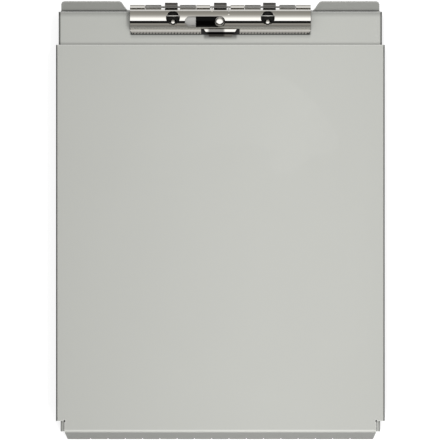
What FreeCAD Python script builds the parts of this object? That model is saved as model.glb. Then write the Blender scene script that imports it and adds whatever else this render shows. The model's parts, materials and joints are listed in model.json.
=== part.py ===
import FreeCAD, Part

import math
import os
import re

import Sketcher

# A sheet metal clipboard box, lying on its back. X runs across it, +Y points to the clip end and
# +Z points out of the cover. The origin is under the middle, on the surface that the box lies on.
# All sizes are in millimetres and all angles in degrees.

SIZES = {
    # whole box
    "box_length": 321.8,
    "sheet": 0.9,
    "bend": 0.6,
    # tray
    "tray_width": 234.6,
    "tray_height": 13.3,
    "tray_lip": 2.4,
    "tray_bottom_inset": 5.8,
    "tray_top_inset": 7.5,
    # cover hinge
    "hinge_pin_radius": 0.8,
    "hinge_fit": 0.05,
    "hinge_clearance": 0.35,
    "knuckle_spacing": 12.7,
    "knuckle_gap": 0.5,
    "barrel_inset": 2.25,
    "curl_opening": 20,
    # writing panel and header plate
    "cover_gap": 0.3,
    "header_side_gap": 0.5,
    "header_end_gap": 0.35,
    "panel_side_gap": 1.05,
    "panel_top_inset": 32.1,
    "panel_notch": 7.7,
    "panel_curl_end": 440,
    "tongue_side_gap": 0.4,
    "lap": 12,
    "flange_depth": 8,
    "wall_lean": 22,
    # latch wall with its two thumb tabs
    "latch_gap": 0.1,
    "latch_side_inset": 0.5,
    "latch_middle_drop": 0.6,
    "flare_drop": 0.9,
    "flare_rise": 38,
    "tab_inner": 68.3,
    "tab_inner_tip": 73.4,
    "tab_corner": 3,
    "tab_inner_corner": 1.6,
    # latch hooks and their rivets
    "hook_sheet": 0.8,
    "hook_width": 9.4,
    "hook_inward_shift": 0.5,
    "hook_foot": 4,
    "hook_ledge_drop": 3.2,
    "hook_reach": 5.3,
    "hook_tip_gap": 0.35,
    "hook_tip_overhang": 0.7,
    "hook_nose_rise": 0.6,
    "hook_bend": 1.1,
    "hook_rivet_height": 7.6,
    "hook_rivet_spacing": 4.8,
    "hook_rivet_radius": 1,
    "hook_rivet_head": 1.8,
    "hook_rivet_head_height": 0.7,
    "hook_rivet_tail": 1.5,
    "hook_rivet_tail_height": 0.5,
    "rivet_fit": 0.02,
    # clip barrel
    "clip_sheet": 0.75,
    "clip_pin_radius": 0.8,
    "clip_fit": 0.05,
    "clip_clearance": 0.35,
    "clip_overhang": 3.45,
    "middle_bay": 15,
    "jaw_knuckle": 10.1,
    "clip_knuckle_gap": 0.4,
    "base_knuckle": 11.6,
    "hook_bay": 13.8,
    "jaw_end_knuckle": 10.9,
    "jaw_curl_end": 470,
    "base_curl_end": 545,
    # clip base
    "base_front_inset": 0.4,
    "base_end_inset": 0.4,
    "lug_inner_inset": 3.6,
    "lug_outer_inset": 3.1,
    "lug_width": 3.4,
    "lug_cap": 0.6,
    # clip rivets
    "clip_rivet_side": 5.2,
    "clip_rivet_forward": 3,
    "clip_rivet_radius": 1.6,
    "clip_rivet_head": 2.85,
    "clip_rivet_head_height": 1.9,
    "clip_rivet_tail": 2.4,
    "clip_rivet_tail_height": 0.7,
    # clip jaw
    "arch_radius": 8,
    "arch_rear_angle": 79.6,
    "lip_bend": 0.5,
    "lip_rise": 15,
    "lip_length": 2.55,
    "bite_gap": 0.05,
    "hook_notch": 2.75,
    "access_hole_radius": 5.1,
    "access_hole_back": 0.65,
    "tooth_spacing": 2.3,
    "tooth_width": 1.1,
    "tooth_slant": 0.6,
    "tooth_depth": 1.6,
    "tooth_margin": 1.3,
    "lip_corner": 2,
    # lift tab
    "tab_root": 12.2,
    "tab_relief": 2,
    "tab_setback": 1,
    "tab_taper": 4,
    "tab_height": 3,
    "tab_radius": 9.3,
    "tab_root_angle": 3,
    "tab_tip_angle": 38,
    "tab_edge": 0.3,
    # window, lock bar, lock knob and lock guide
    "window_right": 3.6,
    "window_length": 29.6,
    "window_width": 8,
    "window_forward": 2.2,
    "window_chamfer": 2.3,
    "knob_radius": 3.75,
    "knob_gap": 0.35,
    "knob_rise": 1.6,
    "knob_dome": 2.6,
    "knob_shank_radius": 1.5,
    "lock_fit": 0.05,
    "bar_gap": 0.15,
    "bar_sheet": 0.8,
    "bar_front_angle": 57.5,
    "bar_rear_angle": 26,
    "bar_left_reach": 17.4,
    "bar_right_reach": 10.6,
    "guide_sheet": 0.45,
    "guide_play": 0.1,
    "guide_play_angle": 0.1,
    "guide_foot_angle": 3.4,
    "guide_left": 29.5,
    "guide_right": 11.5,
    # clip springs
    "wire_radius": 0.6,
    "wire_fit": 0.05,
    "wire_bend": 1.5,
    "wire_height": 1.5,
    "wire_back": 2.2,
    "wire_end_reach": 4.5,
    "wire_tail": 7,
    "wire_rise_inset": 1.75,
    "wire_rise_drop": 0.2,
    "wire_seat": 0.05,
    "wire_start_angle": 67,
    "long_tip_angle": 22,
    "short_tip_angle": 50,
    "long_tip_turns": 2,
    "short_tip_turns": 1,
    # shared
    "overrun": 3,
}

PLACES = {
    "half_length": "box_length / 2",
    "half_tray": "tray_width / 2",
    "tray_bottom_y": "tray_bottom_inset - half_length",
    "tray_top_y": "half_length - tray_top_inset",
    "knuckle_bore": "hinge_pin_radius + hinge_fit",
    "knuckle_outer": "knuckle_bore + sheet",
    "knuckle_room": "knuckle_outer + hinge_clearance",
    "hinge_y": "knuckle_outer - half_length",
    "hinge_z": "knuckle_outer",
    "floor_end_y": "hinge_y + knuckle_room",
    "header_bottom": "tray_height + cover_gap",
    "header_top": "header_bottom + sheet",
    "panel_top": "header_top + sheet",
    "header_half": "half_tray + header_side_gap + sheet",
    "panel_half": "header_half + panel_side_gap + sheet",
    "tongue_half": "half_tray - tray_lip - tongue_side_gap",
    "half_barrel": "tongue_half - barrel_inset",
    "tray_knuckles": "floor(half_barrel / knuckle_spacing)",
    "tray_knuckle_x": "(1 - tray_knuckles) * knuckle_spacing",
    "tray_knuckle_length": "knuckle_spacing - knuckle_gap",
    "flange_z": "panel_top - flange_depth",
    "header_top_y": "tray_top_y - header_end_gap",
    "panel_top_y": "half_length - panel_top_inset",
    "header_low_y": "panel_top_y - lap",
    "notch_y": "tray_bottom_y + panel_notch",
    "wall_foot_y": "hinge_y - knuckle_outer * cos(wall_lean)",
    "wall_foot_z": "hinge_z + knuckle_outer * sin(wall_lean)",
    "wall_foot_in_y": "hinge_y - knuckle_bore * cos(wall_lean)",
    "wall_foot_in_z": "hinge_z + knuckle_bore * sin(wall_lean)",
    "wall_top_y": "wall_foot_y + (panel_top - wall_foot_z) * tan(wall_lean)",
    "wall_top_in_y": "wall_foot_in_y + (panel_top - sheet - wall_foot_in_z) * tan(wall_lean)",
    "latch_in_y": "tray_top_y + latch_gap",
    "latch_out_y": "latch_in_y + sheet",
    "latch_half": "half_tray - latch_side_inset",
    "flare_tip_y": "half_length - sheet * sin(flare_rise)",
    "flare_start_z": "tray_height - flare_drop",
    "flare_tip_z": "flare_start_z + (flare_tip_y - latch_in_y) * tan(flare_rise)",
    "flare_low_z": "flare_tip_z - sheet * cos(flare_rise)",
    "flare_root_z": "flare_low_z - (half_length - latch_out_y) * tan(flare_rise)",
    "latch_middle_z": "flare_root_z - latch_middle_drop",
    "jaw_near": "middle_bay / 2",
    "jaw_far": "jaw_near + jaw_knuckle",
    "base_near": "jaw_far + clip_knuckle_gap",
    "base_far": "base_near + base_knuckle",
    "bay_far": "base_far + hook_bay",
    "base_end": "bay_far + base_knuckle",
    "jaw_end": "base_end + clip_knuckle_gap",
    "half_clip": "jaw_end + jaw_end_knuckle",
    "hook_x": "(base_far + bay_far) / 2 - hook_inward_shift",
    "clip_bore": "clip_pin_radius + clip_fit",
    "clip_curl": "clip_bore + clip_sheet",
    "clip_room": "clip_curl + clip_clearance",
    "clip_y": "header_top_y + clip_overhang",
    "clip_z": "header_top + clip_curl",
    "hook_ledge_z": "clip_z - hook_ledge_drop",
    "hook_tip_z": "clip_z + clip_pin_radius + hook_tip_gap",
    "base_top": "header_top + clip_sheet",
    "base_rear_y": "clip_y - clip_room",
    "arch_inner": "arch_radius - clip_sheet",
    "arch_y": "clip_y - (arch_radius + clip_bore) * sin(arch_rear_angle)",
    "arch_z": "clip_z - (arch_radius + clip_bore) * cos(arch_rear_angle)",
    "arch_front": "acos((header_top + bite_gap + lip_bend + clip_sheet - arch_z)"
                  " / (arch_radius + lip_bend)) / (1 deg)",
    "lip_bend_y": "arch_y - (arch_radius + lip_bend) * sin(arch_front)",
    "lip_bend_z": "arch_z + (arch_radius + lip_bend) * cos(arch_front)",
    "lip_bend_outer": "lip_bend + clip_sheet",
    "lip_root_y": "lip_bend_y - lip_bend * sin(lip_rise)",
    "lip_root_z": "lip_bend_z - lip_bend * cos(lip_rise)",
    "lip_low_y": "lip_bend_y - lip_bend_outer * sin(lip_rise)",
    "lip_low_z": "lip_bend_z - lip_bend_outer * cos(lip_rise)",
    "lip_run": "lip_length * cos(lip_rise)",
    "lip_lift": "lip_length * sin(lip_rise)",
    "lip_edge_y": "lip_low_y - lip_run",
    "base_front_y": "arch_y - arch_inner * sin(arch_front) + base_front_inset",
    "tab_root_y": "lip_bend_y + tab_setback",
    "tab_centre_z": "header_top + tab_height - tab_radius",
    "tab_tip_y": "tab_root_y - tab_radius * sin(tab_tip_angle)",
    "clip_rivet_x": "base_far + clip_rivet_side",
    "clip_rivet_y": "arch_y - clip_rivet_forward",
    "tab_tip": "tab_root - tab_taper",
    "first_tooth": "tab_root + tab_relief + tooth_margin",
    "tooth_count": "floor((half_clip - lip_corner - first_tooth) / tooth_spacing) + 1",
    "window_left": "window_right - window_length",
    "window_round_x": "window_right - window_width / 2",
    "knob_x": "window_right - knob_gap - knob_radius",
    "knob_y": "arch_y - window_forward",
    "window_rear_y": "knob_y + window_width / 2",
    "window_front_y": "knob_y - window_width / 2",
    "bar_outer": "arch_inner - bar_gap",
    "bar_inner": "bar_outer - bar_sheet",
    "guide_outer": "bar_inner - guide_play",
    "guide_inner": "guide_outer - guide_sheet",
    "knob_top": "arch_z + arch_radius + knob_rise",
    "wire_y": "arch_y + wire_back",
    "wire_z": "base_top + wire_height",
    "wire_crank_x": "(hook_width / 2 + jaw_near) / 2",
    "lug_inner_x": "jaw_far - lug_inner_inset",
    "lug_outer_x": "bay_far + lug_outer_inset",
    "wire_end_x": "lug_outer_x + wire_end_reach",
}

HOOK_PLACES = {
    "latch_hook_left": "-hook_x",
    "latch_hook_middle": "0",
    "latch_hook_right": "hook_x",
}

doc = FreeCAD.newDocument("ClipboardBox")
bodies = []


def fill_sheet(label, cells, formulas):
    """Write one named value per row: its name, then the value under that alias."""
    table = doc.addObject("Spreadsheet::Sheet", label)
    for row, (name, value) in enumerate(cells.items(), 1):
        table.set(f"A{row}", name)
        table.set(f"B{row}", "=" + bound(value) if formulas else str(value))
        table.setAlias(f"B{row}", name)
    doc.recompute()
    return table


def bound(text):
    """Turn the size names in an expression into references to the sheets' cells."""

    def reference(match):
        word = match.group(0)
        if word in SIZES:
            return "Sizes." + word
        if word in PLACES:
            return "Places." + word
        return word

    return re.sub(r"[a-z][a-z_]*", reference, text)


sizes = fill_sheet("Sizes", SIZES, False)
places = fill_sheet("Places", PLACES, True)


def value(text):
    """The present number of an expression."""
    return float(sizes.evalExpression(bound(text)))


def vector(x, y, z):
    return FreeCAD.Vector(value(x), value(y), value(z))


def new_body(label):
    body = doc.addObject("PartDesign::Body", label)
    body.Label = label
    bodies.append(body)
    return body


def origin_feature(body, role):
    return next(f for f in body.Origin.OriginFeatures if f.Role == role)


def new_sketch(body, role, shift="0"):
    """A sketch on one of the body's own planes, moved along the plane's normal by shift."""
    sketch = body.newObject("Sketcher::SketchObject", "Sketch")
    sketch.AttachmentSupport = [(origin_feature(body, role), "")]
    sketch.MapMode = "FlatFace"
    if shift != "0":
        sketch.setExpression("AttachmentOffset.Base.z", bound(shift))
    return sketch


def pin_point(sketch, geometry, end, u, v):
    """Hold a point at two bound coordinates; a zero puts it on the axis."""
    for kind, axis, text in (("DistanceX", -2, u), ("DistanceY", -1, v)):
        if text == "0":
            sketch.addConstraint(Sketcher.Constraint("PointOnObject", geometry, end, axis))
        else:
            place = Sketcher.Constraint(kind, -1, 1, geometry, end, value(text))
            index = sketch.addConstraint(place)
            sketch.setExpression(f"Constraints[{index}]", bound(text))


def outline(sketch, corners):
    """Draw a closed outline of straight lines through corners, each a pair of expressions."""
    points = [FreeCAD.Vector(value(u), value(v), 0) for u, v in corners]
    count = len(points)
    first = sketch.GeometryCount
    for i in range(count):
        sketch.addGeometry(Part.LineSegment(points[i], points[(i + 1) % count]), False)
    for i in range(count):
        following = first + (i + 1) % count
        sketch.addConstraint(Sketcher.Constraint("Coincident", first + i, 2, following, 1))
    for i, (u, v) in enumerate(corners):
        pin_point(sketch, first + i, 1, u, v)


def circle(sketch, u, v, radius):
    centre = FreeCAD.Vector(value(u), value(v), 0)
    ring = Part.Circle(centre, FreeCAD.Vector(0, 0, 1), value(radius))
    index = sketch.addGeometry(ring, False)
    pin_point(sketch, index, 3, u, v)
    hold = sketch.addConstraint(Sketcher.Constraint("Radius", index, value(radius)))
    sketch.setExpression(f"Constraints[{hold}]", bound(radius))


def sector(sketch, centre, inner, outer, start, end):
    """A ring sector about centre from angle start to angle end, counter-clockwise from +u."""
    middle = FreeCAD.Vector(value(centre[0]), value(centre[1]), 0)
    a, b = math.radians(value(start)), math.radians(value(end))
    normal = FreeCAD.Vector(0, 0, 1)

    def on_ring(radius, angle):
        return middle + FreeCAD.Vector(math.cos(angle), math.sin(angle), 0) * value(radius)

    arcs = []
    for radius in (outer, inner):
        ring = Part.Circle(middle, normal, value(radius))
        arcs.append(sketch.addGeometry(Part.ArcOfCircle(ring, a, b), False))
        hold = sketch.addConstraint(Sketcher.Constraint("Radius", arcs[-1], value(radius)))
        sketch.setExpression(f"Constraints[{hold}]", bound(radius))
    pin_point(sketch, arcs[0], 3, *centre)
    sketch.addConstraint(Sketcher.Constraint("Coincident", arcs[0], 3, arcs[1], 3))
    for end_point, angle, text in ((1, a, start), (2, b, end)):
        spoke = Part.LineSegment(on_ring(inner, angle), on_ring(outer, angle))
        line = sketch.addGeometry(spoke, False)
        sketch.addConstraint(Sketcher.Constraint("Coincident", line, 1, arcs[1], end_point))
        sketch.addConstraint(Sketcher.Constraint("Coincident", line, 2, arcs[0], end_point))
        sketch.addConstraint(Sketcher.Constraint("PointOnObject", arcs[0], 3, line))
        turn = sketch.addConstraint(Sketcher.Constraint("Angle", line, angle))
        sketch.setExpression(f"Constraints[{turn}]", f"({bound(text)}) * 1 deg")


def pad(body, sketch, length, symmetric=False, backwards=False):
    feature = body.newObject("PartDesign::Pad", "Pad")
    feature.Profile = sketch
    feature.SideType = "Symmetric" if symmetric else "One side"
    feature.Reversed = backwards
    feature.setExpression("Length", bound(length))
    doc.recompute()
    return feature


def pocket(body, sketch, length, symmetric=False, backwards=False):
    """Cut a sketch out of the body, and stop if the cut removes nothing."""
    before = body.Shape.Volume
    feature = body.newObject("PartDesign::Pocket", "Pocket")
    feature.Profile = sketch
    feature.SideType = "Symmetric" if symmetric else "One side"
    feature.Reversed = backwards
    feature.setExpression("Length", bound(length))
    doc.recompute()
    if body.Shape.Volume > before - 1e-6:
        raise RuntimeError(f"a pocket of {body.Label} cuts nothing")
    return feature


def repeat(body, features, spacing, count):
    """Copy features along X."""
    feature = body.newObject("PartDesign::LinearPattern", "Pattern")
    feature.Originals = features
    feature.Direction = (origin_feature(body, "X_Axis"), [""])
    feature.Mode = "Spacing"
    feature.setExpression("Offset", bound(spacing))
    feature.setExpression("Occurrences", bound(count))
    body.Tip = feature
    doc.recompute()
    return feature


def mirror(body, features):
    """Mirror features to the other side of the middle plane."""
    feature = body.newObject("PartDesign::Mirrored", "Mirrored")
    feature.Originals = features
    feature.MirrorPlane = (origin_feature(body, "YZ_Plane"), [""])
    body.Tip = feature
    doc.recompute()
    return feature


def round_edges(body, radius, points):
    """Fillet the edges that pass through the given points."""
    base = body.Tip
    names = []
    for point in points:
        spot = Part.Vertex(vector(*point))
        gaps = [edge.distToShape(spot)[0] for edge in base.Shape.Edges]
        name = f"Edge{gaps.index(min(gaps)) + 1}"
        if name not in names:
            names.append(name)
    feature = body.newObject("PartDesign::Fillet", "Fillet")
    feature.Base = (base, names)
    feature.setExpression("Radius", bound(radius))
    doc.recompute()
    return feature


def both_sides(x, y, z):
    return [(x, y, z), (f"-({x})", y, z)]


def make_tray_pan():
    """The back plate with its two side walls, their inward lips and its hinge knuckles."""
    body = new_body("tray_pan")
    section = new_sketch(body, "XZ_Plane", "-tray_top_y")
    outline(section, [
        ("-half_tray", "0"),
        ("half_tray", "0"),
        ("half_tray", "tray_height"),
        ("half_tray - tray_lip", "tray_height"),
        ("half_tray - tray_lip", "tray_height - sheet"),
        ("half_tray - sheet", "tray_height - sheet"),
        ("half_tray - sheet", "sheet"),
        ("sheet - half_tray", "sheet"),
        ("sheet - half_tray", "tray_height - sheet"),
        ("tray_lip - half_tray", "tray_height - sheet"),
        ("tray_lip - half_tray", "tray_height"),
        ("-half_tray", "tray_height"),
    ])
    pad(body, section, "tray_top_y - tray_bottom_y")
    round_edges(body, "bend + sheet", both_sides("half_tray", "0", "0")
                + both_sides("half_tray", "0", "tray_height"))
    round_edges(body, "bend", both_sides("half_tray - sheet", "0", "sheet")
                + both_sides("half_tray - sheet", "0", "tray_height - sheet"))
    tongue = new_sketch(body, "XY_Plane")
    outline(tongue, [
        ("-half_barrel", "floor_end_y"),
        ("half_barrel", "floor_end_y"),
        ("tongue_half", "tray_bottom_y + sheet"),
        ("-tongue_half", "tray_bottom_y + sheet"),
    ])
    pad(body, tongue, "sheet")
    curl = new_sketch(body, "YZ_Plane", "tray_knuckle_x")
    sector(curl, ("hinge_y", "hinge_z"), "knuckle_bore", "knuckle_outer", "curl_opening", "270")
    knuckle = pad(body, curl, "tray_knuckle_length", symmetric=True)
    web = new_sketch(body, "YZ_Plane", "tray_knuckle_x")
    outline(web, [
        ("hinge_y", "0"),
        ("floor_end_y + sheet", "0"),
        ("floor_end_y + sheet", "sheet"),
        ("hinge_y", "sheet"),
    ])
    link = pad(body, web, "tray_knuckle_length", symmetric=True)
    repeat(body, [knuckle, link], "2 * knuckle_spacing", "tray_knuckles")


def make_hinge_pin():
    """The steel wire that the cover turns on."""
    body = new_body("cover_hinge_pin")
    section = new_sketch(body, "YZ_Plane")
    circle(section, "hinge_y", "hinge_z", "hinge_pin_radius")
    pad(body, section, "2 * half_barrel", symmetric=True)
    ends = both_sides("half_barrel", "hinge_y", "hinge_z + hinge_pin_radius")
    round_edges(body, "hinge_pin_radius / 4", ends)


def channel(body, half, top, high_y, low_y):
    """A plate with a flange down each side, from high_y to low_y, with its bends rounded."""
    section = new_sketch(body, "XZ_Plane", f"-{high_y}")
    outline(section, [
        (f"-{half}", "flange_z"),
        (f"sheet - {half}", "flange_z"),
        (f"sheet - {half}", f"{top} - sheet"),
        (f"{half} - sheet", f"{top} - sheet"),
        (f"{half} - sheet", "flange_z"),
        (half, "flange_z"),
        (half, top),
        (f"-{half}", top),
    ])
    pad(body, section, f"{high_y} - {low_y}")
    middle = f"({high_y} + {low_y}) / 2"
    round_edges(body, "bend + sheet", both_sides(half, middle, top))
    round_edges(body, "bend", both_sides(f"{half} - sheet", middle, f"{top} - sheet"))


def make_writing_panel():
    """The wide writing panel, its sloped end wall and its hinge knuckles."""
    body = new_body("writing_panel")
    channel(body, "panel_half", "panel_top", "panel_top_y", "notch_y")
    slope = new_sketch(body, "YZ_Plane")
    outline(slope, [
        ("notch_y + sheet", "panel_top"),
        ("wall_top_y", "panel_top"),
        ("wall_foot_y", "wall_foot_z"),
        ("wall_foot_in_y", "wall_foot_in_z"),
        ("wall_top_in_y", "panel_top - sheet"),
        ("notch_y + sheet", "panel_top - sheet"),
    ])
    pad(body, slope, "2 * tongue_half", symmetric=True)
    round_edges(body, "bend + sheet", [("0", "wall_top_y", "panel_top")])
    round_edges(body, "bend", [("0", "wall_top_in_y", "panel_top - sheet")])
    sides = new_sketch(body, "XY_Plane")
    for sign in ("", "-"):
        outline(sides, [
            (f"{sign}tongue_half", "wall_top_y"),
            (f"{sign}(tongue_half + overrun)", "wall_top_y"),
            (f"{sign}(tongue_half + overrun)", "-half_length - overrun"),
            (f"{sign}half_barrel", "-half_length - overrun"),
            (f"{sign}half_barrel", "hinge_y"),
        ])
    pocket(body, sides, "2 * panel_top + overrun", symmetric=True)
    curl = new_sketch(body, "YZ_Plane")
    sector(curl, ("hinge_y", "hinge_z"), "knuckle_bore", "knuckle_outer",
           "180 - wall_lean", "panel_curl_end")
    pad(body, curl, "2 * half_barrel", symmetric=True)
    room = new_sketch(body, "YZ_Plane", "tray_knuckle_x")
    circle(room, "hinge_y", "hinge_z", "knuckle_room")
    gap = pocket(body, room, "knuckle_spacing + knuckle_gap", symmetric=True)
    repeat(body, [gap], "2 * knuckle_spacing", "tray_knuckles")


def make_header_plate():
    """The plate under the clip, lapped under the top of the writing panel."""
    body = new_body("header_plate")
    channel(body, "header_half", "header_top", "header_top_y", "header_low_y")
    holes = new_sketch(body, "XY_Plane", "header_bottom")
    for sign in ("", "-"):
        circle(holes, f"{sign}clip_rivet_x", "clip_rivet_y", "clip_rivet_radius + rivet_fit")
    pocket(body, holes, "2 * sheet + overrun", symmetric=True)


def make_latch_wall():
    """The springy end wall of the tray, with a flared thumb tab at each corner."""
    body = new_body("latch_wall")
    section = new_sketch(body, "YZ_Plane")
    outline(section, [
        ("latch_in_y", "0"),
        ("latch_out_y", "0"),
        ("latch_out_y", "flare_root_z"),
        ("half_length", "flare_low_z"),
        ("flare_tip_y", "flare_tip_z"),
        ("latch_in_y", "flare_start_z"),
    ])
    pad(body, section, "2 * latch_half", symmetric=True)
    round_edges(body, "bend + sheet", [("0", "latch_in_y", "flare_start_z")])
    round_edges(body, "bend", [("0", "latch_out_y", "flare_root_z")])
    middle = new_sketch(body, "XY_Plane", "latch_middle_z")
    outline(middle, [
        ("-tab_inner", "latch_in_y - overrun"),
        ("tab_inner", "latch_in_y - overrun"),
        ("tab_inner", "latch_in_y"),
        ("tab_inner_tip", "half_length"),
        ("tab_inner_tip", "half_length + overrun"),
        ("-tab_inner_tip", "half_length + overrun"),
        ("-tab_inner_tip", "half_length"),
        ("-tab_inner", "latch_in_y"),
    ])
    pocket(body, middle, "flare_tip_z", backwards=True)
    tip_y = "(half_length + flare_tip_y) / 2"
    tip_z = "(flare_low_z + flare_tip_z) / 2"
    round_edges(body, "tab_corner", both_sides("latch_half", tip_y, tip_z))
    round_edges(body, "tab_inner_corner", both_sides("tab_inner_tip", tip_y, tip_z))
    holes = new_sketch(body, "XZ_Plane", "-latch_out_y")
    for x in HOOK_PLACES.values():
        for side in ("+", "-"):
            circle(holes, f"{x} {side} hook_rivet_spacing / 2", "hook_rivet_height",
                   "hook_rivet_radius + rivet_fit")
    pocket(body, holes, "2 * sheet + overrun", symmetric=True)


def make_latch_hook(label, x):
    """A spring steel hook that rises outside the clip pin and slopes down over it."""
    body = new_body(label)
    section = new_sketch(body, "YZ_Plane", x)
    outline(section, [
        ("latch_out_y", "hook_foot"),
        ("latch_out_y + hook_sheet", "hook_foot"),
        ("latch_out_y + hook_sheet", "hook_ledge_z"),
        ("latch_out_y + hook_reach", "hook_ledge_z"),
        ("latch_out_y + hook_reach", "hook_tip_z + hook_nose_rise + hook_sheet"),
        ("clip_y - hook_tip_overhang", "hook_tip_z + hook_sheet"),
        ("clip_y - hook_tip_overhang", "hook_tip_z"),
        ("latch_out_y + hook_reach - hook_sheet", "hook_tip_z + hook_nose_rise"),
        ("latch_out_y + hook_reach - hook_sheet", "hook_ledge_z + hook_sheet"),
        ("latch_out_y", "hook_ledge_z + hook_sheet"),
    ])
    pad(body, section, "hook_width", symmetric=True)
    outer = "latch_out_y + hook_reach"
    round_edges(body, "hook_bend + hook_sheet",
                [(x, outer, "hook_tip_z + hook_nose_rise + hook_sheet"), (x, outer, "hook_ledge_z")])
    round_edges(body, "hook_bend",
                [(x, f"{outer} - hook_sheet", "hook_tip_z + hook_nose_rise"),
                 (x, f"{outer} - hook_sheet", "hook_ledge_z + hook_sheet")])
    holes = new_sketch(body, "XZ_Plane", "-latch_out_y")
    for side in ("+", "-"):
        circle(holes, f"{x} {side} hook_rivet_spacing / 2", "hook_rivet_height",
               "hook_rivet_radius + rivet_fit")
    pocket(body, holes, "2 * hook_sheet + overrun", symmetric=True)


def rivet(foot, axis, grip, radius, head, head_height, tail, tail_height):
    """A rivet as a turned solid: tail, shank through the grip and a domed head."""
    dome = (head ** 2 + head_height ** 2) / (2 * head_height)
    lean = math.asin(head / dome)
    middle = FreeCAD.Vector(0, 0, grip + head_height - dome)
    rise = FreeCAD.Vector(math.sin(lean / 2), 0, math.cos(lean / 2)) * dome
    corners = [
        FreeCAD.Vector(0, 0, -tail_height),
        FreeCAD.Vector(tail - tail_height / 2, 0, -tail_height),
        FreeCAD.Vector(tail, 0, -tail_height / 2),
        FreeCAD.Vector(tail, 0, 0),
        FreeCAD.Vector(radius, 0, 0),
        FreeCAD.Vector(radius, 0, grip),
        FreeCAD.Vector(head, 0, grip),
    ]
    crown = FreeCAD.Vector(0, 0, grip + head_height)
    edges = [Part.LineSegment(a, b).toShape() for a, b in zip(corners, corners[1:])]
    edges.append(Part.Arc(corners[-1], middle + rise, crown).toShape())
    edges.append(Part.LineSegment(crown, corners[0]).toShape())
    solid = Part.Face(Part.Wire(edges)).revolve(FreeCAD.Vector(), FreeCAD.Vector(0, 0, 1), 360)
    turn = FreeCAD.Rotation(FreeCAD.Vector(0, 0, 1), axis)
    return solid.transformed(FreeCAD.Placement(foot, turn).toMatrix())


def add_feature(label, shape):
    feature = doc.addObject("Part::Feature", label)
    feature.Label = label
    feature.Shape = shape
    bodies.append(feature)


def make_latch_rivets():
    """Two rivets through each hook's foot and the latch wall."""
    solids = []
    for x in HOOK_PLACES.values():
        for side in ("+", "-"):
            foot = vector(f"{x} {side} hook_rivet_spacing / 2", "latch_in_y", "hook_rivet_height")
            solids.append(rivet(foot, FreeCAD.Vector(0, 1, 0), value("sheet + hook_sheet"),
                                value("hook_rivet_radius"), value("hook_rivet_head"),
                                value("hook_rivet_head_height"), value("hook_rivet_tail"),
                                value("hook_rivet_tail_height")))
    add_feature("latch_rivets", Part.makeCompound(solids))


def make_clip_rivet(label, sign):
    """A dome head rivet that holds the clip base to the header plate."""
    foot = vector(f"{sign}clip_rivet_x", "clip_rivet_y", "header_bottom")
    shape = rivet(foot, FreeCAD.Vector(0, 0, 1), value("sheet + clip_sheet"),
                  value("clip_rivet_radius"), value("clip_rivet_head"),
                  value("clip_rivet_head_height"), value("clip_rivet_tail"),
                  value("clip_rivet_tail_height"))
    add_feature(label, shape)


def make_clip_base():
    """The clip's bottom plate, with four knuckles and four lugs for the spring wires."""
    body = new_body("clip_base")
    plate = new_sketch(body, "XY_Plane", "header_top")
    outline(plate, [
        ("base_end_inset - half_clip", "base_front_y"),
        ("half_clip - base_end_inset", "base_front_y"),
        ("half_clip - base_end_inset", "base_rear_y"),
        ("base_end_inset - half_clip", "base_rear_y"),
    ])
    pad(body, plate, "clip_sheet")
    halves = []
    for near, far in (("base_near", "base_far"), ("bay_far", "base_end")):
        middle = f"({near} + {far}) / 2"
        length = f"{far} - {near}"
        curl = new_sketch(body, "YZ_Plane", middle)
        sector(curl, ("clip_y", "clip_z"), "clip_bore", "clip_curl", "270", "base_curl_end")
        halves.append(pad(body, curl, length, symmetric=True))
        web = new_sketch(body, "YZ_Plane", middle)
        outline(web, [
            ("clip_y", "header_top"),
            ("clip_y", "base_top"),
            ("base_rear_y - clip_sheet", "base_top"),
            ("base_rear_y - clip_sheet", "header_top"),
        ])
        halves.append(pad(body, web, length, symmetric=True))
    for place in ("lug_inner_x", "lug_outer_x"):
        lug = new_sketch(body, "YZ_Plane", place)
        outline(lug, [
            ("wire_y - lug_width / 2", "base_top - clip_sheet / 2"),
            ("wire_y + lug_width / 2", "base_top - clip_sheet / 2"),
            ("wire_y + lug_width / 2", "wire_z + wire_radius + lug_cap"),
            ("wire_y - lug_width / 2", "wire_z + wire_radius + lug_cap"),
        ])
        circle(lug, "wire_y", "wire_z", "wire_radius + wire_fit")
        halves.append(pad(body, lug, "clip_sheet", symmetric=True))
    mirror(body, halves)
    holes = new_sketch(body, "XY_Plane", "header_top")
    for sign in ("", "-"):
        circle(holes, f"{sign}clip_rivet_x", "clip_rivet_y", "clip_rivet_radius + rivet_fit")
    pocket(body, holes, "2 * clip_sheet + overrun", symmetric=True)


def make_clip_pin():
    """The pin that the jaw turns on and that the latch hooks hold down."""
    body = new_body("clip_pin")
    section = new_sketch(body, "YZ_Plane")
    circle(section, "clip_y", "clip_z", "clip_pin_radius")
    pad(body, section, "2 * half_clip", symmetric=True)
    ends = both_sides("half_clip", "clip_y", "clip_z + clip_pin_radius")
    round_edges(body, "clip_pin_radius / 4", ends)


def cut_about_pin(body, radius, near, far):
    """Cut the jaw back from the clip pin between two distances from the middle."""
    room = new_sketch(body, "YZ_Plane", f"({near} + {far}) / 2")
    circle(room, "clip_y", "clip_z", radius)
    return pocket(body, room, f"{far} - ({near})", symmetric=True)


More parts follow.
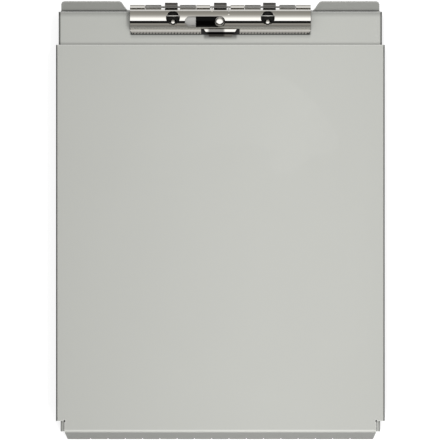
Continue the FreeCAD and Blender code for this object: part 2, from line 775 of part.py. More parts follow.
def make_clip_jaw():
    """The arched jaw: knuckles behind, a flared and toothed lip and a lift tab in front."""
    body = new_body("clip_jaw")
    arch = new_sketch(body, "YZ_Plane")
    sector(arch, ("arch_y", "arch_z"), "arch_inner", "arch_radius",
           "90 - arch_rear_angle", "90 + arch_front")
    pad(body, arch, "2 * half_clip", symmetric=True)
    curl = new_sketch(body, "YZ_Plane")
    sector(curl, ("clip_y", "clip_z"), "clip_bore", "clip_curl", "270 - arch_rear_angle", "jaw_curl_end")
    pad(body, curl, "2 * half_clip", symmetric=True)
    turn = new_sketch(body, "YZ_Plane")
    sector(turn, ("lip_bend_y", "lip_bend_z"), "lip_bend", "lip_bend_outer",
           "270 - lip_rise", "270 + arch_front")
    pad(body, turn, "2 * half_clip", symmetric=True)
    lip = new_sketch(body, "YZ_Plane")
    outline(lip, [
        ("lip_root_y", "lip_root_z"),
        ("lip_root_y - lip_run", "lip_root_z + lip_lift"),
        ("lip_edge_y", "lip_low_z + lip_lift"),
        ("lip_low_y", "lip_low_z"),
    ])
    pad(body, lip, "2 * half_clip", symmetric=True)
    cuts = [
        cut_about_pin(body, "clip_room", "jaw_far", "jaw_end"),
        cut_about_pin(body, "hook_notch", "base_far", "bay_far"),
    ]
    mirror(body, cuts)
    cut_about_pin(body, "hook_notch", "-jaw_near", "jaw_near")
    make_jaw_openings(body)
    make_jaw_teeth(body)
    make_lift_tab(body)


def make_jaw_openings(body):
    """Two round holes over the rivets and the lock's window."""
    holes = new_sketch(body, "XY_Plane", "arch_z")
    for sign in ("", "-"):
        circle(holes, f"{sign}clip_rivet_x", "arch_y + access_hole_back",
               "access_hole_radius")
    pocket(body, holes, "arch_radius + overrun", backwards=True)
    window = new_sketch(body, "XY_Plane", "arch_z")
    outline(window, [
        ("window_left", "window_front_y + window_chamfer"),
        ("window_left + window_chamfer", "window_front_y"),
        ("window_round_x", "window_front_y"),
        ("window_round_x", "window_rear_y"),
        ("window_left + window_chamfer", "window_rear_y"),
        ("window_left", "window_rear_y - window_chamfer"),
    ])
    pocket(body, window, "arch_radius + overrun", backwards=True)
    round_end = new_sketch(body, "XY_Plane", "arch_z")
    circle(round_end, "window_round_x", "knob_y", "window_width / 2")
    pocket(body, round_end, "arch_radius + overrun", backwards=True)


def make_jaw_teeth(body):
    """Slanted notches in the lip on each side of the tab, and cut corners at its ends."""
    ends = new_sketch(body, "XY_Plane", "header_top")
    for sign in ("", "-"):
        outline(ends, [
            (f"{sign}half_clip", "lip_bend_y"),
            (f"{sign}(half_clip + overrun)", "lip_bend_y"),
            (f"{sign}(half_clip + overrun)", "lip_edge_y - overrun"),
            (f"{sign}(half_clip - lip_corner)", "lip_edge_y - overrun"),
            (f"{sign}(half_clip - lip_corner)", "lip_edge_y"),
        ])
    pocket(body, ends, "arch_radius", backwards=True)
    for first in ("first_tooth", "-first_tooth - (tooth_count - 1) * tooth_spacing"):
        notch = new_sketch(body, "XY_Plane", "header_top")
        outline(notch, [
            (f"{first} - tooth_width / 2", "lip_edge_y - overrun"),
            (f"{first} + tooth_width / 2", "lip_edge_y - overrun"),
            (f"{first} + tooth_width / 2", "lip_edge_y"),
            (f"{first} + tooth_slant", "lip_edge_y + tooth_depth"),
            (f"{first} - tooth_width / 2", "lip_edge_y"),
        ])
        cut = pocket(body, notch, "arch_radius", backwards=True)
        repeat(body, [cut], "tooth_spacing", "tooth_count")


def make_lift_tab(body):
    """A tab that comes forward out of the arch and bows down, for the finger that lifts the jaw."""
    gap = new_sketch(body, "XY_Plane", "header_top")
    outline(gap, [
        ("-tab_root - tab_relief", "lip_edge_y - overrun"),
        ("tab_root + tab_relief", "lip_edge_y - overrun"),
        ("tab_root + tab_relief", "tab_root_y + 2 * clip_sheet"),
        ("-tab_root - tab_relief", "tab_root_y + 2 * clip_sheet"),
    ])
    pocket(body, gap, "tab_height - clip_sheet / 2", backwards=True)
    blade = new_sketch(body, "YZ_Plane")
    sector(blade, ("tab_root_y", "tab_centre_z"), "tab_radius - clip_sheet", "tab_radius",
           "90 - tab_root_angle", "90 + tab_tip_angle")
    pad(body, blade, "2 * tab_root", symmetric=True)
    sides = new_sketch(body, "XY_Plane", "header_top")
    for sign in ("", "-"):
        outline(sides, [
            (f"{sign}tab_root", "tab_root_y"),
            (f"{sign}(tab_root + tab_relief)", "tab_root_y"),
            (f"{sign}(tab_root + tab_relief)", "tab_tip_y - overrun"),
            (f"{sign}tab_tip", "tab_tip_y - overrun"),
            (f"{sign}tab_tip", "tab_tip_y"),
        ])
    pocket(body, sides, "arch_radius", backwards=True)
    round_edges(body, "tab_edge",
                [("0", "tab_tip_y", "tab_centre_z + tab_radius * cos(tab_tip_angle)")])


def make_lock_bar():
    """The curved black bar that slides under the arch of the jaw."""
    body = new_body("lock_bar")
    section = new_sketch(body, "YZ_Plane", "knob_x + (bar_right_reach - bar_left_reach) / 2")
    sector(section, ("arch_y", "arch_z"), "bar_inner", "bar_outer",
           "90 - bar_rear_angle", "90 + bar_front_angle")
    pad(body, section, "bar_left_reach + bar_right_reach", symmetric=True)
    hole = new_sketch(body, "XY_Plane", "arch_z")
    circle(hole, "knob_x", "knob_y", "knob_shank_radius + lock_fit")
    pocket(body, hole, "arch_radius", backwards=True)


def make_lock_knob():
    """The domed knob in the window, riveted to the lock bar."""
    body = new_body("lock_knob")
    stem = new_sketch(body, "XY_Plane", "arch_z")
    circle(stem, "knob_x", "knob_y", "knob_radius")
    pad(body, stem, "knob_top - arch_z")
    seat = new_sketch(body, "YZ_Plane", "knob_x")
    circle(seat, "arch_y", "arch_z", "bar_outer")
    pocket(body, seat, "2 * knob_radius + overrun", symmetric=True)
    shank = new_sketch(body, "XY_Plane", "arch_z + bar_inner")
    circle(shank, "knob_x", "knob_y", "knob_shank_radius")
    pad(body, shank, "knob_top - arch_z - bar_outer")
    round_edges(body, "knob_dome", [("knob_x", "knob_y + knob_radius", "knob_top")])


def make_lock_guide():
    """The channel spot-welded under the jaw that carries the lock bar."""
    body = new_body("lock_guide")
    centre = ("arch_y", "arch_z")
    middle = "(guide_right - guide_left) / 2"
    length = "guide_left + guide_right"
    rear = "90 - bar_rear_angle - guide_play_angle"
    front = "90 + bar_front_angle + guide_play_angle"
    for inner, outer, start, end in (
        ("guide_inner", "guide_outer", f"{rear} - guide_foot_angle", f"{front} + guide_foot_angle"),
        ("guide_inner", "arch_inner", f"{rear} - guide_foot_angle", rear),
        ("guide_inner", "arch_inner", front, f"{front} + guide_foot_angle"),
    ):
        section = new_sketch(body, "YZ_Plane", middle)
        sector(section, centre, inner, outer, start, end)
        pad(body, section, length, symmetric=True)


def tube(points, radius, bend):
    """A round wire through points, with every inner corner turned on an arc of radius bend."""
    edges = []
    start = points[0]
    for before, corner, after in zip(points, points[1:], points[2:]):
        back = (before - corner).normalize()
        ahead = (after - corner).normalize()
        half = back.getAngle(ahead) / 2
        reach = bend / math.tan(half)
        enter = corner + back * reach
        leave = corner + ahead * reach
        inward = (back + ahead).normalize()
        crown = corner + inward * (bend / math.sin(half) - bend)
        edges.append(Part.LineSegment(start, enter).toShape())
        edges.append(Part.Arc(enter, crown, leave).toShape())
        start = leave
    edges.append(Part.LineSegment(start, points[-1]).toShape())
    path = Part.Wire(edges)
    ring = Part.Circle(points[0], points[1] - points[0], radius)
    solid = path.makePipeShell([Part.Wire(ring.toShape())], True, False)
    print(f"wire: length {path.Length:.2f}, volume share"
          f" {solid.Volume / (math.pi * radius ** 2 * path.Length):.4f}")
    return solid


def make_clip_spring(label, sign, tip_angle, turns):
    """A torsion bar wire: tail on the base, a long run, a crank, and a tip along the arch."""
    line_radius = value("arch_radius + wire_radius + wire_seat")
    start = math.radians(value("wire_start_angle"))
    step = (start - math.radians(value(tip_angle))) / value(turns)

    def on_arch(angle, radius):
        """A point beside the arch, at an angle from the vertical about the arch's centre."""
        lift = FreeCAD.Vector(0, math.sin(angle), math.cos(angle)) * radius
        return vector(f"{sign}wire_crank_x", "arch_y", "arch_z") + lift

    points = [
        vector(f"{sign}wire_end_x", "wire_y - wire_tail", "base_top + wire_radius + wire_seat"),
        vector(f"{sign}wire_end_x", "wire_y", "wire_z"),
        vector(f"{sign}wire_crank_x", "wire_y", "wire_z"),
        vector(f"{sign}wire_crank_x", "clip_y - wire_rise_inset", "clip_z - wire_rise_drop"),
        on_arch(start, line_radius),
    ]
    for turn in range(int(value(turns))):
        corner_radius = line_radius / math.cos(step / 2)
        points.append(on_arch(start - (turn + 1 / 2) * step, corner_radius))
    points.append(on_arch(math.radians(value(tip_angle)), line_radius))
    add_feature(label, tube(points, value("wire_radius"), value("wire_bend")))


make_tray_pan()
make_hinge_pin()
make_latch_wall()
for hook_label, hook_x in HOOK_PLACES.items():
    make_latch_hook(hook_label, hook_x)
make_latch_rivets()
make_writing_panel()
make_header_plate()
make_clip_base()
make_clip_rivet("clip_rivet_left", "-")
make_clip_rivet("clip_rivet_right", "")
make_clip_pin()
make_clip_jaw()
make_lock_guide()
make_lock_bar()
make_lock_knob()
make_clip_spring("clip_spring_left", "-", "short_tip_angle", "short_tip_turns")
make_clip_spring("clip_spring_right", "", "long_tip_angle", "long_tip_turns")
doc.recompute()

for item in doc.Objects:
    if "Invalid" in item.State or "Error" in item.State:
        owner = next((body.Label for body in bodies if item in body.OutList), "the document")
        raise RuntimeError(f"{item.Label} of {owner} failed: {item.State}")
os.makedirs("parts", exist_ok=True)
for body in bodies:
    shape = body.Shape
    if shape.isNull() or not shape.isValid():
        raise RuntimeError(f"{body.Label} has no valid shape")
    print(f"{body.Label}: {len(shape.Solids)} solids, {shape.Volume:.1f} mm3")
    shape.exportStep(f"parts/{body.Label}.step")
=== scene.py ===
# %% [markdown]
# # A clipboard box in sheet metal
# The object is a flat form box: a brushed aluminium cover that is written on, a chromed clip at
# its top end, flared thumb tabs, three dark hooks over the clip's pin and a rolled hinge at the
# bottom. The imported model gives every piece its place, in metres, so nothing here is fitted by
# eye. This first cell loads it and keeps its record.

# %% Load the frame
import json
import math

import bpy
import numpy as np
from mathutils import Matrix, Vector


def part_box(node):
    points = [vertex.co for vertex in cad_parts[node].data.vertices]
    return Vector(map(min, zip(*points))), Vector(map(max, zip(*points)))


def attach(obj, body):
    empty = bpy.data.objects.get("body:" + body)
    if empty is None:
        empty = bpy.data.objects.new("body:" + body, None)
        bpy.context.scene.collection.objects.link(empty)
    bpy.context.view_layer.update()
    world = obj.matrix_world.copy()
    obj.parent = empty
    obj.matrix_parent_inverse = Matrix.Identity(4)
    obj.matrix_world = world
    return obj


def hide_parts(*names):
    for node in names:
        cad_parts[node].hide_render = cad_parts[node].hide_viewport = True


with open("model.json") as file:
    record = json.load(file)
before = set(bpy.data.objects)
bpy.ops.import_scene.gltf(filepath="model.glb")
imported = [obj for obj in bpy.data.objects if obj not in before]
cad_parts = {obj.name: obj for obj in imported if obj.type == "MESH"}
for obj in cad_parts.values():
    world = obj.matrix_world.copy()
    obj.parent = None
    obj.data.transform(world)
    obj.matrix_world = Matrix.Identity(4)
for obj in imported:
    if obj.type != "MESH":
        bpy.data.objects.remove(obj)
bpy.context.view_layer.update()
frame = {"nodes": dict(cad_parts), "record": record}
nodes = frame["nodes"]
MM = 0.001


# %% [markdown]
# ## The camera
# The photograph looks straight down from far away, so heights hardly shift anything. A long lens
# twelve metres up does the same. One pixel of the photograph is 0.734 mm on the cover, which sets
# the lens.

# %% Camera
PHOTO_SIDE = 440
PIXEL = 0.734 * MM
PHOTO_CENTRE = Vector((-0.26 * MM, 0.18 * MM, 0))
CAMERA_HEIGHT = 12.0

cover_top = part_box("writing_panel")[1].z
camera_data = bpy.data.cameras.new("camera")
camera_data.sensor_width = 36
camera_data.lens = camera_data.sensor_width * (CAMERA_HEIGHT - cover_top) / (PHOTO_SIDE * PIXEL)
camera_data.clip_end = 100
camera = bpy.data.objects.new("camera", camera_data)
camera.location = PHOTO_CENTRE + Vector((0, 0, CAMERA_HEIGHT))
bpy.context.scene.collection.objects.link(camera)
bpy.context.scene.camera = camera
bpy.context.scene.view_settings.view_transform = "Standard"
print("lens in mm:", round(camera_data.lens, 1))


# %% [markdown]
# ## The studio
# Chrome shows the room. In the photograph its arch carries a white band, a thin black line and a
# warm grey below and above them, so the room is a white ceiling light, a dark gap beside it and
# grey walls. The world draws that as a ramp over one angle: how far a direction leans to the
# front from straight up. It dims sideways, which gives the side bends of the cover their dark
# lines. Diffuse rays see one plain level, and the camera sees white.

# %% Shader helpers
def new_tree(owner):
    """Empty node tree of a material or world, and four short functions to fill it.

    add makes a node, join links two sockets, number does scalar maths on sockets and plain
    numbers, and ranged goes from before at low to after at high.
    """
    owner.use_nodes = True
    tree = owner.node_tree
    tree.nodes.clear()

    def add(kind, **settings):
        node = tree.nodes.new(kind)
        for name, value in settings.items():
            if name in node.inputs:
                node.inputs[name].default_value = value
            else:
                setattr(node, name, value)
        return node

    def join(source, target):
        tree.links.new(source, target)

    def number(operation, *values, clamp=False):
        node = add("ShaderNodeMath", operation=operation, use_clamp=clamp)
        for socket, given in zip(node.inputs, values):
            if isinstance(given, (int, float)):
                socket.default_value = given
            else:
                join(given, socket)
        return node.outputs[0]

    def ranged(value, low, high, before, after, kind="LINEAR"):
        node = add("ShaderNodeMapRange", interpolation_type=kind)
        for socket, given in zip(("From Min", "From Max", "To Min", "To Max"),
                                 (low, high, before, after)):
            node.inputs[socket].default_value = given
        join(value, node.inputs["Value"])
        return node.outputs["Result"]

    return add, join, number, ranged


def set_ramp(node, stops):
    """Give a colour ramp its stops, each a place from 0 to 1 and a colour."""
    ramp = node.color_ramp
    while len(ramp.elements) > 1:
        ramp.elements.remove(ramp.elements[0])
    for i, (place, colour) in enumerate(stops):
        stop = ramp.elements[0] if i == 0 else ramp.elements.new(place)
        stop.position = place
        stop.color = (*colour, 1)


# %% World
WARM = np.array([1.0, 0.968, 0.894])
STUDIO = [
    (-120, 0.30 * WARM), (-85, 0.30 * WARM), (-72, 0.327 * WARM), (-59, 0.365 * WARM),
    (-47, 0.412 * WARM), (-36, (0.53, 0.52, 0.50)), (-25, (0.74, 0.73, 0.71)),
    (-14.5, (1.08, 1.07, 1.05)), (-5, (1.40, 1.40, 1.39)), (19, (1.40, 1.40, 1.40)),
    (22, (0.01, 0.01, 0.01)), (46, (0.01, 0.01, 0.01)), (50, 0.34 * WARM), (62, 0.345 * WARM),
    (75, 0.25 * WARM), (89, 0.16 * WARM), (105, 0.09 * WARM), (130, (0.20, 0.20, 0.19)),
]
PLAIN_LEVEL = 0.80
SIDE_START, SIDE_END, SIDE_LEVEL = 25, 55, 0.1

world = bpy.data.worlds.new("studio")
bpy.context.scene.world = world
add, join, number, ranged = new_tree(world)
direction = add("ShaderNodeSeparateXYZ")
join(add("ShaderNodeTexCoord").outputs["Generated"], direction.inputs[0])
to_front = number("MULTIPLY", direction.outputs["Y"], -1.0)
lean = number("ARCTAN2", to_front, direction.outputs["Z"])
ramp = add("ShaderNodeValToRGB")
set_ramp(ramp, [(0.5 + degrees / 360, colour) for degrees, colour in STUDIO])
join(number("MULTIPLY_ADD", lean, 1 / (2 * math.pi), 0.5), ramp.inputs[0])
sideways = number("ABSOLUTE", number("ARCTAN2", direction.outputs["X"], direction.outputs["Z"]))
dimmed = add("ShaderNodeVectorMath", operation="SCALE")
join(ramp.outputs["Color"], dimmed.inputs[0])
join(ranged(sideways, math.radians(SIDE_START), math.radians(SIDE_END), 1, SIDE_LEVEL),
     dimmed.inputs["Scale"])
rays = add("ShaderNodeLightPath")
room = add("ShaderNodeMix", data_type="RGBA")
room.inputs["A"].default_value = (PLAIN_LEVEL, PLAIN_LEVEL, PLAIN_LEVEL, 1)
join(rays.outputs["Is Glossy Ray"], room.inputs["Factor"])
join(dimmed.outputs[0], room.inputs["B"])
seen = add("ShaderNodeMix", data_type="RGBA")
seen.inputs["B"].default_value = (1, 1, 1, 1)
join(rays.outputs["Is Camera Ray"], seen.inputs["Factor"])
join(room.outputs["Result"], seen.inputs["A"])
background = add("ShaderNodeBackground")
join(seen.outputs["Result"], background.inputs["Color"])
output = add("ShaderNodeOutputWorld")
join(background.outputs[0], output.inputs["Surface"])
world.cycles.sampling_method = "NONE"
print("studio stops:", len(STUDIO))


# %% [markdown]
# A soft strip lamp hangs over the right half, just above the reach of the open cover, and faces
# straight down. It is near, so its light falls off to the left edge: that is the gradient of the
# cover. No mirror shows it, since the studio already is what the chrome reflects.

# %% Lamp
LAMP_WIDTH, LAMP_LENGTH = 0.04, 1.00
LAMP_ENERGY = 2.9
LAMP_PLACE = (0.06, -0.12, 0.36)

lamp_data = bpy.data.lights.new("strip_lamp", "AREA")
lamp_data.shape = "RECTANGLE"
lamp_data.size = LAMP_WIDTH
lamp_data.size_y = LAMP_LENGTH
lamp_data.energy = LAMP_ENERGY
lamp = bpy.data.objects.new("strip_lamp", lamp_data)
lamp.location = LAMP_PLACE
lamp.visible_camera = False
lamp.visible_glossy = False
bpy.context.scene.collection.objects.link(lamp)
print("lamp energy in W:", LAMP_ENERGY)


# %% [markdown]
# The floor is pale and keeps a faint shadow under the box. A part of its white is its own, for
# the camera alone, because the photograph's background is pure white. Metal sees it grey, as the
# photographed metal does.

# %% Floor
FLOOR_SIDE = 12.0
FLOOR_OWN_WHITE = 0.74
FLOOR_IN_METAL = 0.16
FLOOR_GREY = (0.42, 0.42, 0.42, 1)

floor_mesh = bpy.data.meshes.new("floor")
side = np.array([-0.5, 0.5]) * FLOOR_SIDE
x, y = np.meshgrid(side, side)
corners = np.stack([x.ravel(), y.ravel(), np.zeros(4)], axis=1)
floor_mesh.from_pydata(corners.tolist(), [], [(0, 1, 3, 2)])
floor = bpy.data.objects.new("floor", floor_mesh)
bpy.context.scene.collection.objects.link(floor)

floor_material = bpy.data.materials.new("pale_floor")
floor_mesh.materials.append(floor_material)
add, join, number, ranged = new_tree(floor_material)
matt = add("ShaderNodeBsdfDiffuse", Color=FLOOR_GREY)
rays = add("ShaderNodeLightPath")
to_camera = number("MULTIPLY", rays.outputs["Is Camera Ray"], FLOOR_OWN_WHITE)
own = number("MULTIPLY_ADD", rays.outputs["Is Glossy Ray"], FLOOR_IN_METAL, to_camera)
glow = add("ShaderNodeEmission", Color=(1, 1, 1, 1))
join(own, glow.inputs["Strength"])
both = add("ShaderNodeAddShader")
join(matt.outputs[0], both.inputs[0])
join(glow.outputs[0], both.inputs[1])
output = add("ShaderNodeOutputMaterial")
join(both.outputs[0], output.inputs["Surface"])
print("floor side in m:", FLOOR_SIDE)


# %% [markdown]
# ## How the sheet metal pieces are made
# Everything large here is folded from flat sheet, so every piece starts as its flat blank: a grid
# in two lengths, one across and one along. Two paths say how the blank is folded in each
# direction. A path is a heading that stays constant on a straight run and turns evenly in a bend.
# Pulling the grid down over the paths folds it, and the blank's own lengths stay with the points
# as an attribute, so that the brushed grain runs round the bends as it does in real sheet.

# %% Folding paths
PATH_STEP = 0.02


def run(length):
    return length, 0


def arc(radius, turn):
    """A bend: the length along it and the degrees that the heading turns, positive to the left."""
    return radius * math.radians(abs(turn)), turn


def trace(start, heading, steps):
    """Follow a path from its start and give the distance s along it and its two coordinates.

    The heading h(s) is piecewise linear, and the path is start + integral of (cos h, sin h) ds.
    """
    ends = np.concatenate([[0], np.cumsum([length for length, _ in steps])])
    headings = np.radians(heading + np.concatenate([[0], np.cumsum([turn for _, turn in steps])]))
    s = np.unique(np.concatenate([np.arange(0, ends[-1], PATH_STEP), ends]))
    h = np.interp(s, ends, headings)
    middle, step = (h[1:] + h[:-1]) / 2, np.diff(s)
    u = start[0] + np.concatenate([[0], np.cumsum(np.cos(middle) * step)])
    v = start[1] + np.concatenate([[0], np.cumsum(np.sin(middle) * step)])
    return s, u, v


def folded(corners, radii, last=()):
    """The path through corner points, inner corners rounded, and any last steps after it."""
    points = np.array(corners, float)
    spans = np.diff(points, axis=0)
    lengths = np.hypot(spans[:, 0], spans[:, 1])
    headings = np.degrees(np.arctan2(spans[:, 1], spans[:, 0]))
    turns = (np.diff(headings) + 180) % 360 - 180
    radii = np.broadcast_to(radii, turns.shape)
    trims = np.concatenate([[0], radii * np.tan(np.radians(np.abs(turns) / 2)), [0]])
    steps = []
    for i, length in enumerate(lengths):
        steps.append(run(length - trims[i] - trims[i + 1]))
        if i < len(turns):
            steps.append(arc(radii[i], turns[i]))
    return trace(points[0], headings[0], steps + list(last))


def follow(path, s):
    """The two coordinates of a path at distances s along it."""
    return np.interp(s, path[0], path[1]), np.interp(s, path[0], path[2])


def ruled(*marks):
    """Grid lines through marks (place, step), each gap divided evenly into steps no longer."""
    lines = []
    for (start, step), (end, _) in zip(marks, marks[1:]):
        count = math.ceil((end - start) / step - 1e-6)
        lines.append(np.linspace(start, end, count, endpoint=False))
    return np.concatenate(lines + [[marks[-1][0]]])


print("a square bend of radius 1.5 mm takes", round(arc(1.5, 90)[0], 2), "mm of sheet")


# %% [markdown]
# A cut in the blank is a function that is negative where metal is missing. Grid points less than
# half a cell from the edge of a cut slide onto it, by Newton steps along the function's slope.
# Cells on the missing side are dropped, and a cell that the edge crosses from corner to corner is
# split along it. So a hole comes out round and a tooth pointed, on a plain grid. Solidify then
# gives the sheet its thickness and Bevel takes the sharpness off its edges.

# %% Trimmed grid
def make_mesh(name, points, faces, attributes=()):
    """A smooth-shaded mesh in metres, from points in millimetres and faces of three or four."""
    mesh = bpy.data.meshes.new(name)
    mesh.from_pydata((points * MM).tolist(), [], faces)
    mesh.polygons.foreach_set("use_smooth", [True] * len(mesh.polygons))
    for label, kind, field, values in attributes:
        attribute = mesh.attributes.new(label, kind, "POINT")
        attribute.data.foreach_set(field, np.ascontiguousarray(values, np.float32).ravel())
    mesh.validate()
    piece = bpy.data.objects.new(name, mesh)
    bpy.context.scene.collection.objects.link(piece)
    return piece


def slide(cut, at, i, j):
    """Move points near the cut's edge onto it, and mark points inside -1, on it 0, outside 1."""
    reach = 0.05

    def slope():
        level = cut(*at(i, j))
        di = (cut(*at(i + reach, j)) - cut(*at(i - reach, j))) / (2 * reach)
        dj = (cut(*at(i, j + reach)) - cut(*at(i, j - reach))) / (2 * reach)
        return level, di, dj, np.maximum(di ** 2 + dj ** 2, 1e-12)

    level, di, dj, steep = slope()
    near = np.abs(level) < 0.5 * np.sqrt(steep)
    for _ in range(2):
        level, di, dj, steep = slope()
        i = np.where(near, i - np.clip(level * di / steep, -0.5, 0.5), i)
        j = np.where(near, j - np.clip(level * dj / steep, -0.5, 0.5), j)
    return i, j, np.where(near, 0, np.sign(level))


def trimmed(x_lines, s_lines, cuts):
    """Trim the grid: blank coordinates x and s of its points, its faces, and edge distances."""
    rows, columns = len(x_lines), len(s_lines)
    i, j = np.meshgrid(np.arange(rows, dtype=float), np.arange(columns, dtype=float),
                       indexing="ij")

    def at(i, j):
        return (np.interp(i, np.arange(rows), x_lines), np.interp(j, np.arange(columns), s_lines))

    sides = []
    for cut in cuts:
        i, j, side = slide(cut, at, i, j)
        sides.append(side)
    x, s = at(i, j)
    index = np.arange(rows * columns).reshape(rows, columns)
    a, b, c, d = (index[:-1, :-1], index[1:, :-1], index[1:, 1:], index[:-1, 1:])
    a, b, c, d = (corner.ravel() for corner in (a, b, c, d))
    on_edge = np.zeros(rows * columns, bool)
    for side in sides:
        on_edge |= side.ravel() == 0
    turn = on_edge[b] & on_edge[d] & ~(on_edge[a] & on_edge[c])
    first = np.where(turn[:, None], np.stack([a, b, d], 1), np.stack([a, b, c], 1))
    second = np.where(turn[:, None], np.stack([b, c, d], 1), np.stack([a, c, d], 1))
    flat_x, flat_s = x.ravel(), s.ravel()

    def kept(corners):
        good = np.ones(len(corners), bool)
        for cut, side in zip(cuts, sides):
            middle = cut(flat_x[corners].mean(1), flat_s[corners].mean(1))
            good &= (side.ravel()[corners] >= 0).all(1) & (middle > 0)
        return good

    keep_first, keep_second = kept(first), kept(second)
    whole = keep_first & keep_second
    faces = np.stack([a, b, c, d], 1)[whole].tolist()
    faces += first[keep_first & ~whole].tolist() + second[keep_second & ~whole].tolist()
    edge = np.minimum.reduce([x - x_lines[0], x_lines[-1] - x, s - s_lines[0], s_lines[-1] - s])
    for cut in cuts:
        edge = np.minimum(edge, cut(x, s))
    used = np.unique(np.concatenate([np.array(face) for face in faces]))
    renumber = np.zeros(rows * columns, int)
    renumber[used] = np.arange(len(used))
    faces = [[int(renumber[corner]) for corner in face] for face in faces]
    return flat_x[used], flat_s[used], faces, np.maximum(edge.ravel()[used], 0)


SHARP = math.radians(40)


def sheet_piece(name, x_lines, s_lines, cuts, place, thickness, outside="right", bevel=0.12):
    """A folded and trimmed sheet. place(x, s) is its outside, on that hand of the path."""
    x, s, faces, edge = trimmed(x_lines, s_lines, cuts)
    if outside == "right":
        faces = [face[::-1] for face in faces]
    points = np.stack(place(x, s), axis=1)
    blank = np.stack([x, s, np.zeros_like(x)], axis=1)
    piece = make_mesh(name, points, faces, [("blank", "FLOAT_VECTOR", "vector", blank * MM),
                                            ("edge", "FLOAT", "value", edge * MM)])
    solid = piece.modifiers.new("thickness", "SOLIDIFY")
    solid.thickness = thickness * MM
    solid.offset = -1
    soft = piece.modifiers.new("broken_edges", "BEVEL")
    soft.width = bevel * MM
    soft.segments = 2
    soft.limit_method = "ANGLE"
    soft.angle_limit = SHARP
    soft.harden_normals = True
    print(name, "grid faces:", len(faces))
    return piece


# %% [markdown]
# A round piece is a profile turned about an upright axis. It is again a grid, angle by distance
# along the profile, with its two ends closed to a point.

# %% Turned pieces
def turned(name, centre, radii, heights, turns=72, foot=None):
    """Turn a profile from its lowest to its highest point; foot(x, y) can shape its lowest ring."""
    angle = np.arange(turns) * 2 * np.pi / turns
    rings = len(radii)
    x = centre[0] + np.outer(radii, np.cos(angle))
    y = centre[1] + np.outer(radii, np.sin(angle))
    z = np.repeat(np.array(heights, float)[:, None], turns, axis=1)
    if foot is not None:
        low = foot(x[1], y[1])
        share = (z[1:] - z[1:2]) / (z[-1] - z[1])
        z[1:] = low + share * (z[-1] - low)
    points = np.stack([x, y, z], axis=2).reshape(-1, 3)
    index = np.arange(rings * turns).reshape(rings, turns)
    a, b = index[1:-2], np.roll(index[1:-2], -1, axis=1)
    c, d = np.roll(index[2:-1], -1, axis=1), index[2:-1]
    faces = np.stack([a, b, c, d], axis=2).reshape(-1, 4).tolist()
    ring = index[1]
    faces += np.stack([np.full(turns, index[0, 0]), np.roll(ring, -1), ring], axis=1).tolist()
    ring = index[-2]
    faces += np.stack([ring, np.roll(ring, -1), np.full(turns, index[-1, 0])], axis=1).tolist()
    keep = np.concatenate([[0], np.arange(turns, (rings - 1) * turns), [index[-1, 0]]])
    renumber = np.zeros(rings * turns, int)
    renumber[keep] = np.arange(len(keep))
    faces = [[int(renumber[corner]) for corner in face] for face in faces]
    piece = make_mesh(name, points[keep], faces)
    print(name, "faces:", len(faces))
    return piece


# %% [markdown]
# ## The writing panel
# One sheet of 0.9 mm aluminium: a flange down each side, a flat top that sags by a hair between
# them, and a sloped end wall that runs into the hinge knuckles. Its side edges are notched near
# the hinge, with a round relief in each inner corner, where the metal would tear at the fold.

# %% Writing panel
SHEET = 0.9
OUTER_BEND = 1.5
PANEL_TOP = 15.4
PANEL_END = 128.8
PANEL_HALF = 120.65
FLANGE_LOW = 7.4
NOTCH = -147.4
TONGUE_HALF = 114.5
BARREL_HALF = 112.25
WALL_LEAN = 22
HINGE = (-159.15, 1.75)
KNUCKLE = 1.75
KNUCKLE_PITCH = 12.7
KNUCKLE_GAP = 0.5
TRAY_KNUCKLES = 8
PANEL_CURL = 282
SLOT_LEAD = 1.5
RELIEF = 0.8
SAG = 0.2
SAG_HALF, SAG_START, SAG_END, SAG_FADE = 112, 16, 8, 60


def from_knuckle(x):
    """Distance across from the middle of the nearest tray knuckle."""
    first = (1 - TRAY_KNUCKLES) * KNUCKLE_PITCH
    order = np.clip(np.round((x - first) / (2 * KNUCKLE_PITCH)), 0, TRAY_KNUCKLES - 1)
    return np.abs(x - first - order * 2 * KNUCKLE_PITCH)


def both_ways(*marks):
    """Grid lines across a symmetric piece, from marks of its right half, in rising order."""
    half = ruled(*marks)
    return np.concatenate([-half[:0:-1], half])


def knuckle_marks(half_gap, step):
    """Marks at both edges of every tray knuckle's place on the right half."""
    middles = KNUCKLE_PITCH * (1 + 2 * np.arange(TRAY_KNUCKLES // 2))
    marks = [(0, step)]
    for middle in middles:
        marks += [(middle - half_gap, step), (middle + half_gap, step)]
    return marks


lean_rise = math.radians(WALL_LEAN)
foot_y = HINGE[0] - KNUCKLE * math.cos(lean_rise)
foot_z = HINGE[1] + KNUCKLE * math.sin(lean_rise)
fold_y = foot_y + (PANEL_TOP - foot_z) * math.tan(lean_rise)
across = folded([(-PANEL_HALF, FLANGE_LOW), (-PANEL_HALF, PANEL_TOP), (PANEL_HALF, PANEL_TOP),
                 (PANEL_HALF, FLANGE_LOW)], OUTER_BEND)
along = folded([(PANEL_END, PANEL_TOP), (fold_y, PANEL_TOP), (foot_y, foot_z)], OUTER_BEND,
               [arc(KNUCKLE, PANEL_CURL)])
half_width = across[0][-1] / 2
flat_half = PANEL_HALF - OUTER_BEND
bend_length = arc(OUTER_BEND, 90)[0]
fold_start = PANEL_END - fold_y - OUTER_BEND * math.tan(math.radians(45 - WALL_LEAN / 2))
fold_end = fold_start + arc(OUTER_BEND, 90 - WALL_LEAN)[0]
curl_start = along[0][-1] - arc(KNUCKLE, PANEL_CURL)[0]
knuckle_cut = curl_start - SLOT_LEAD
notch_s = PANEL_END - NOTCH


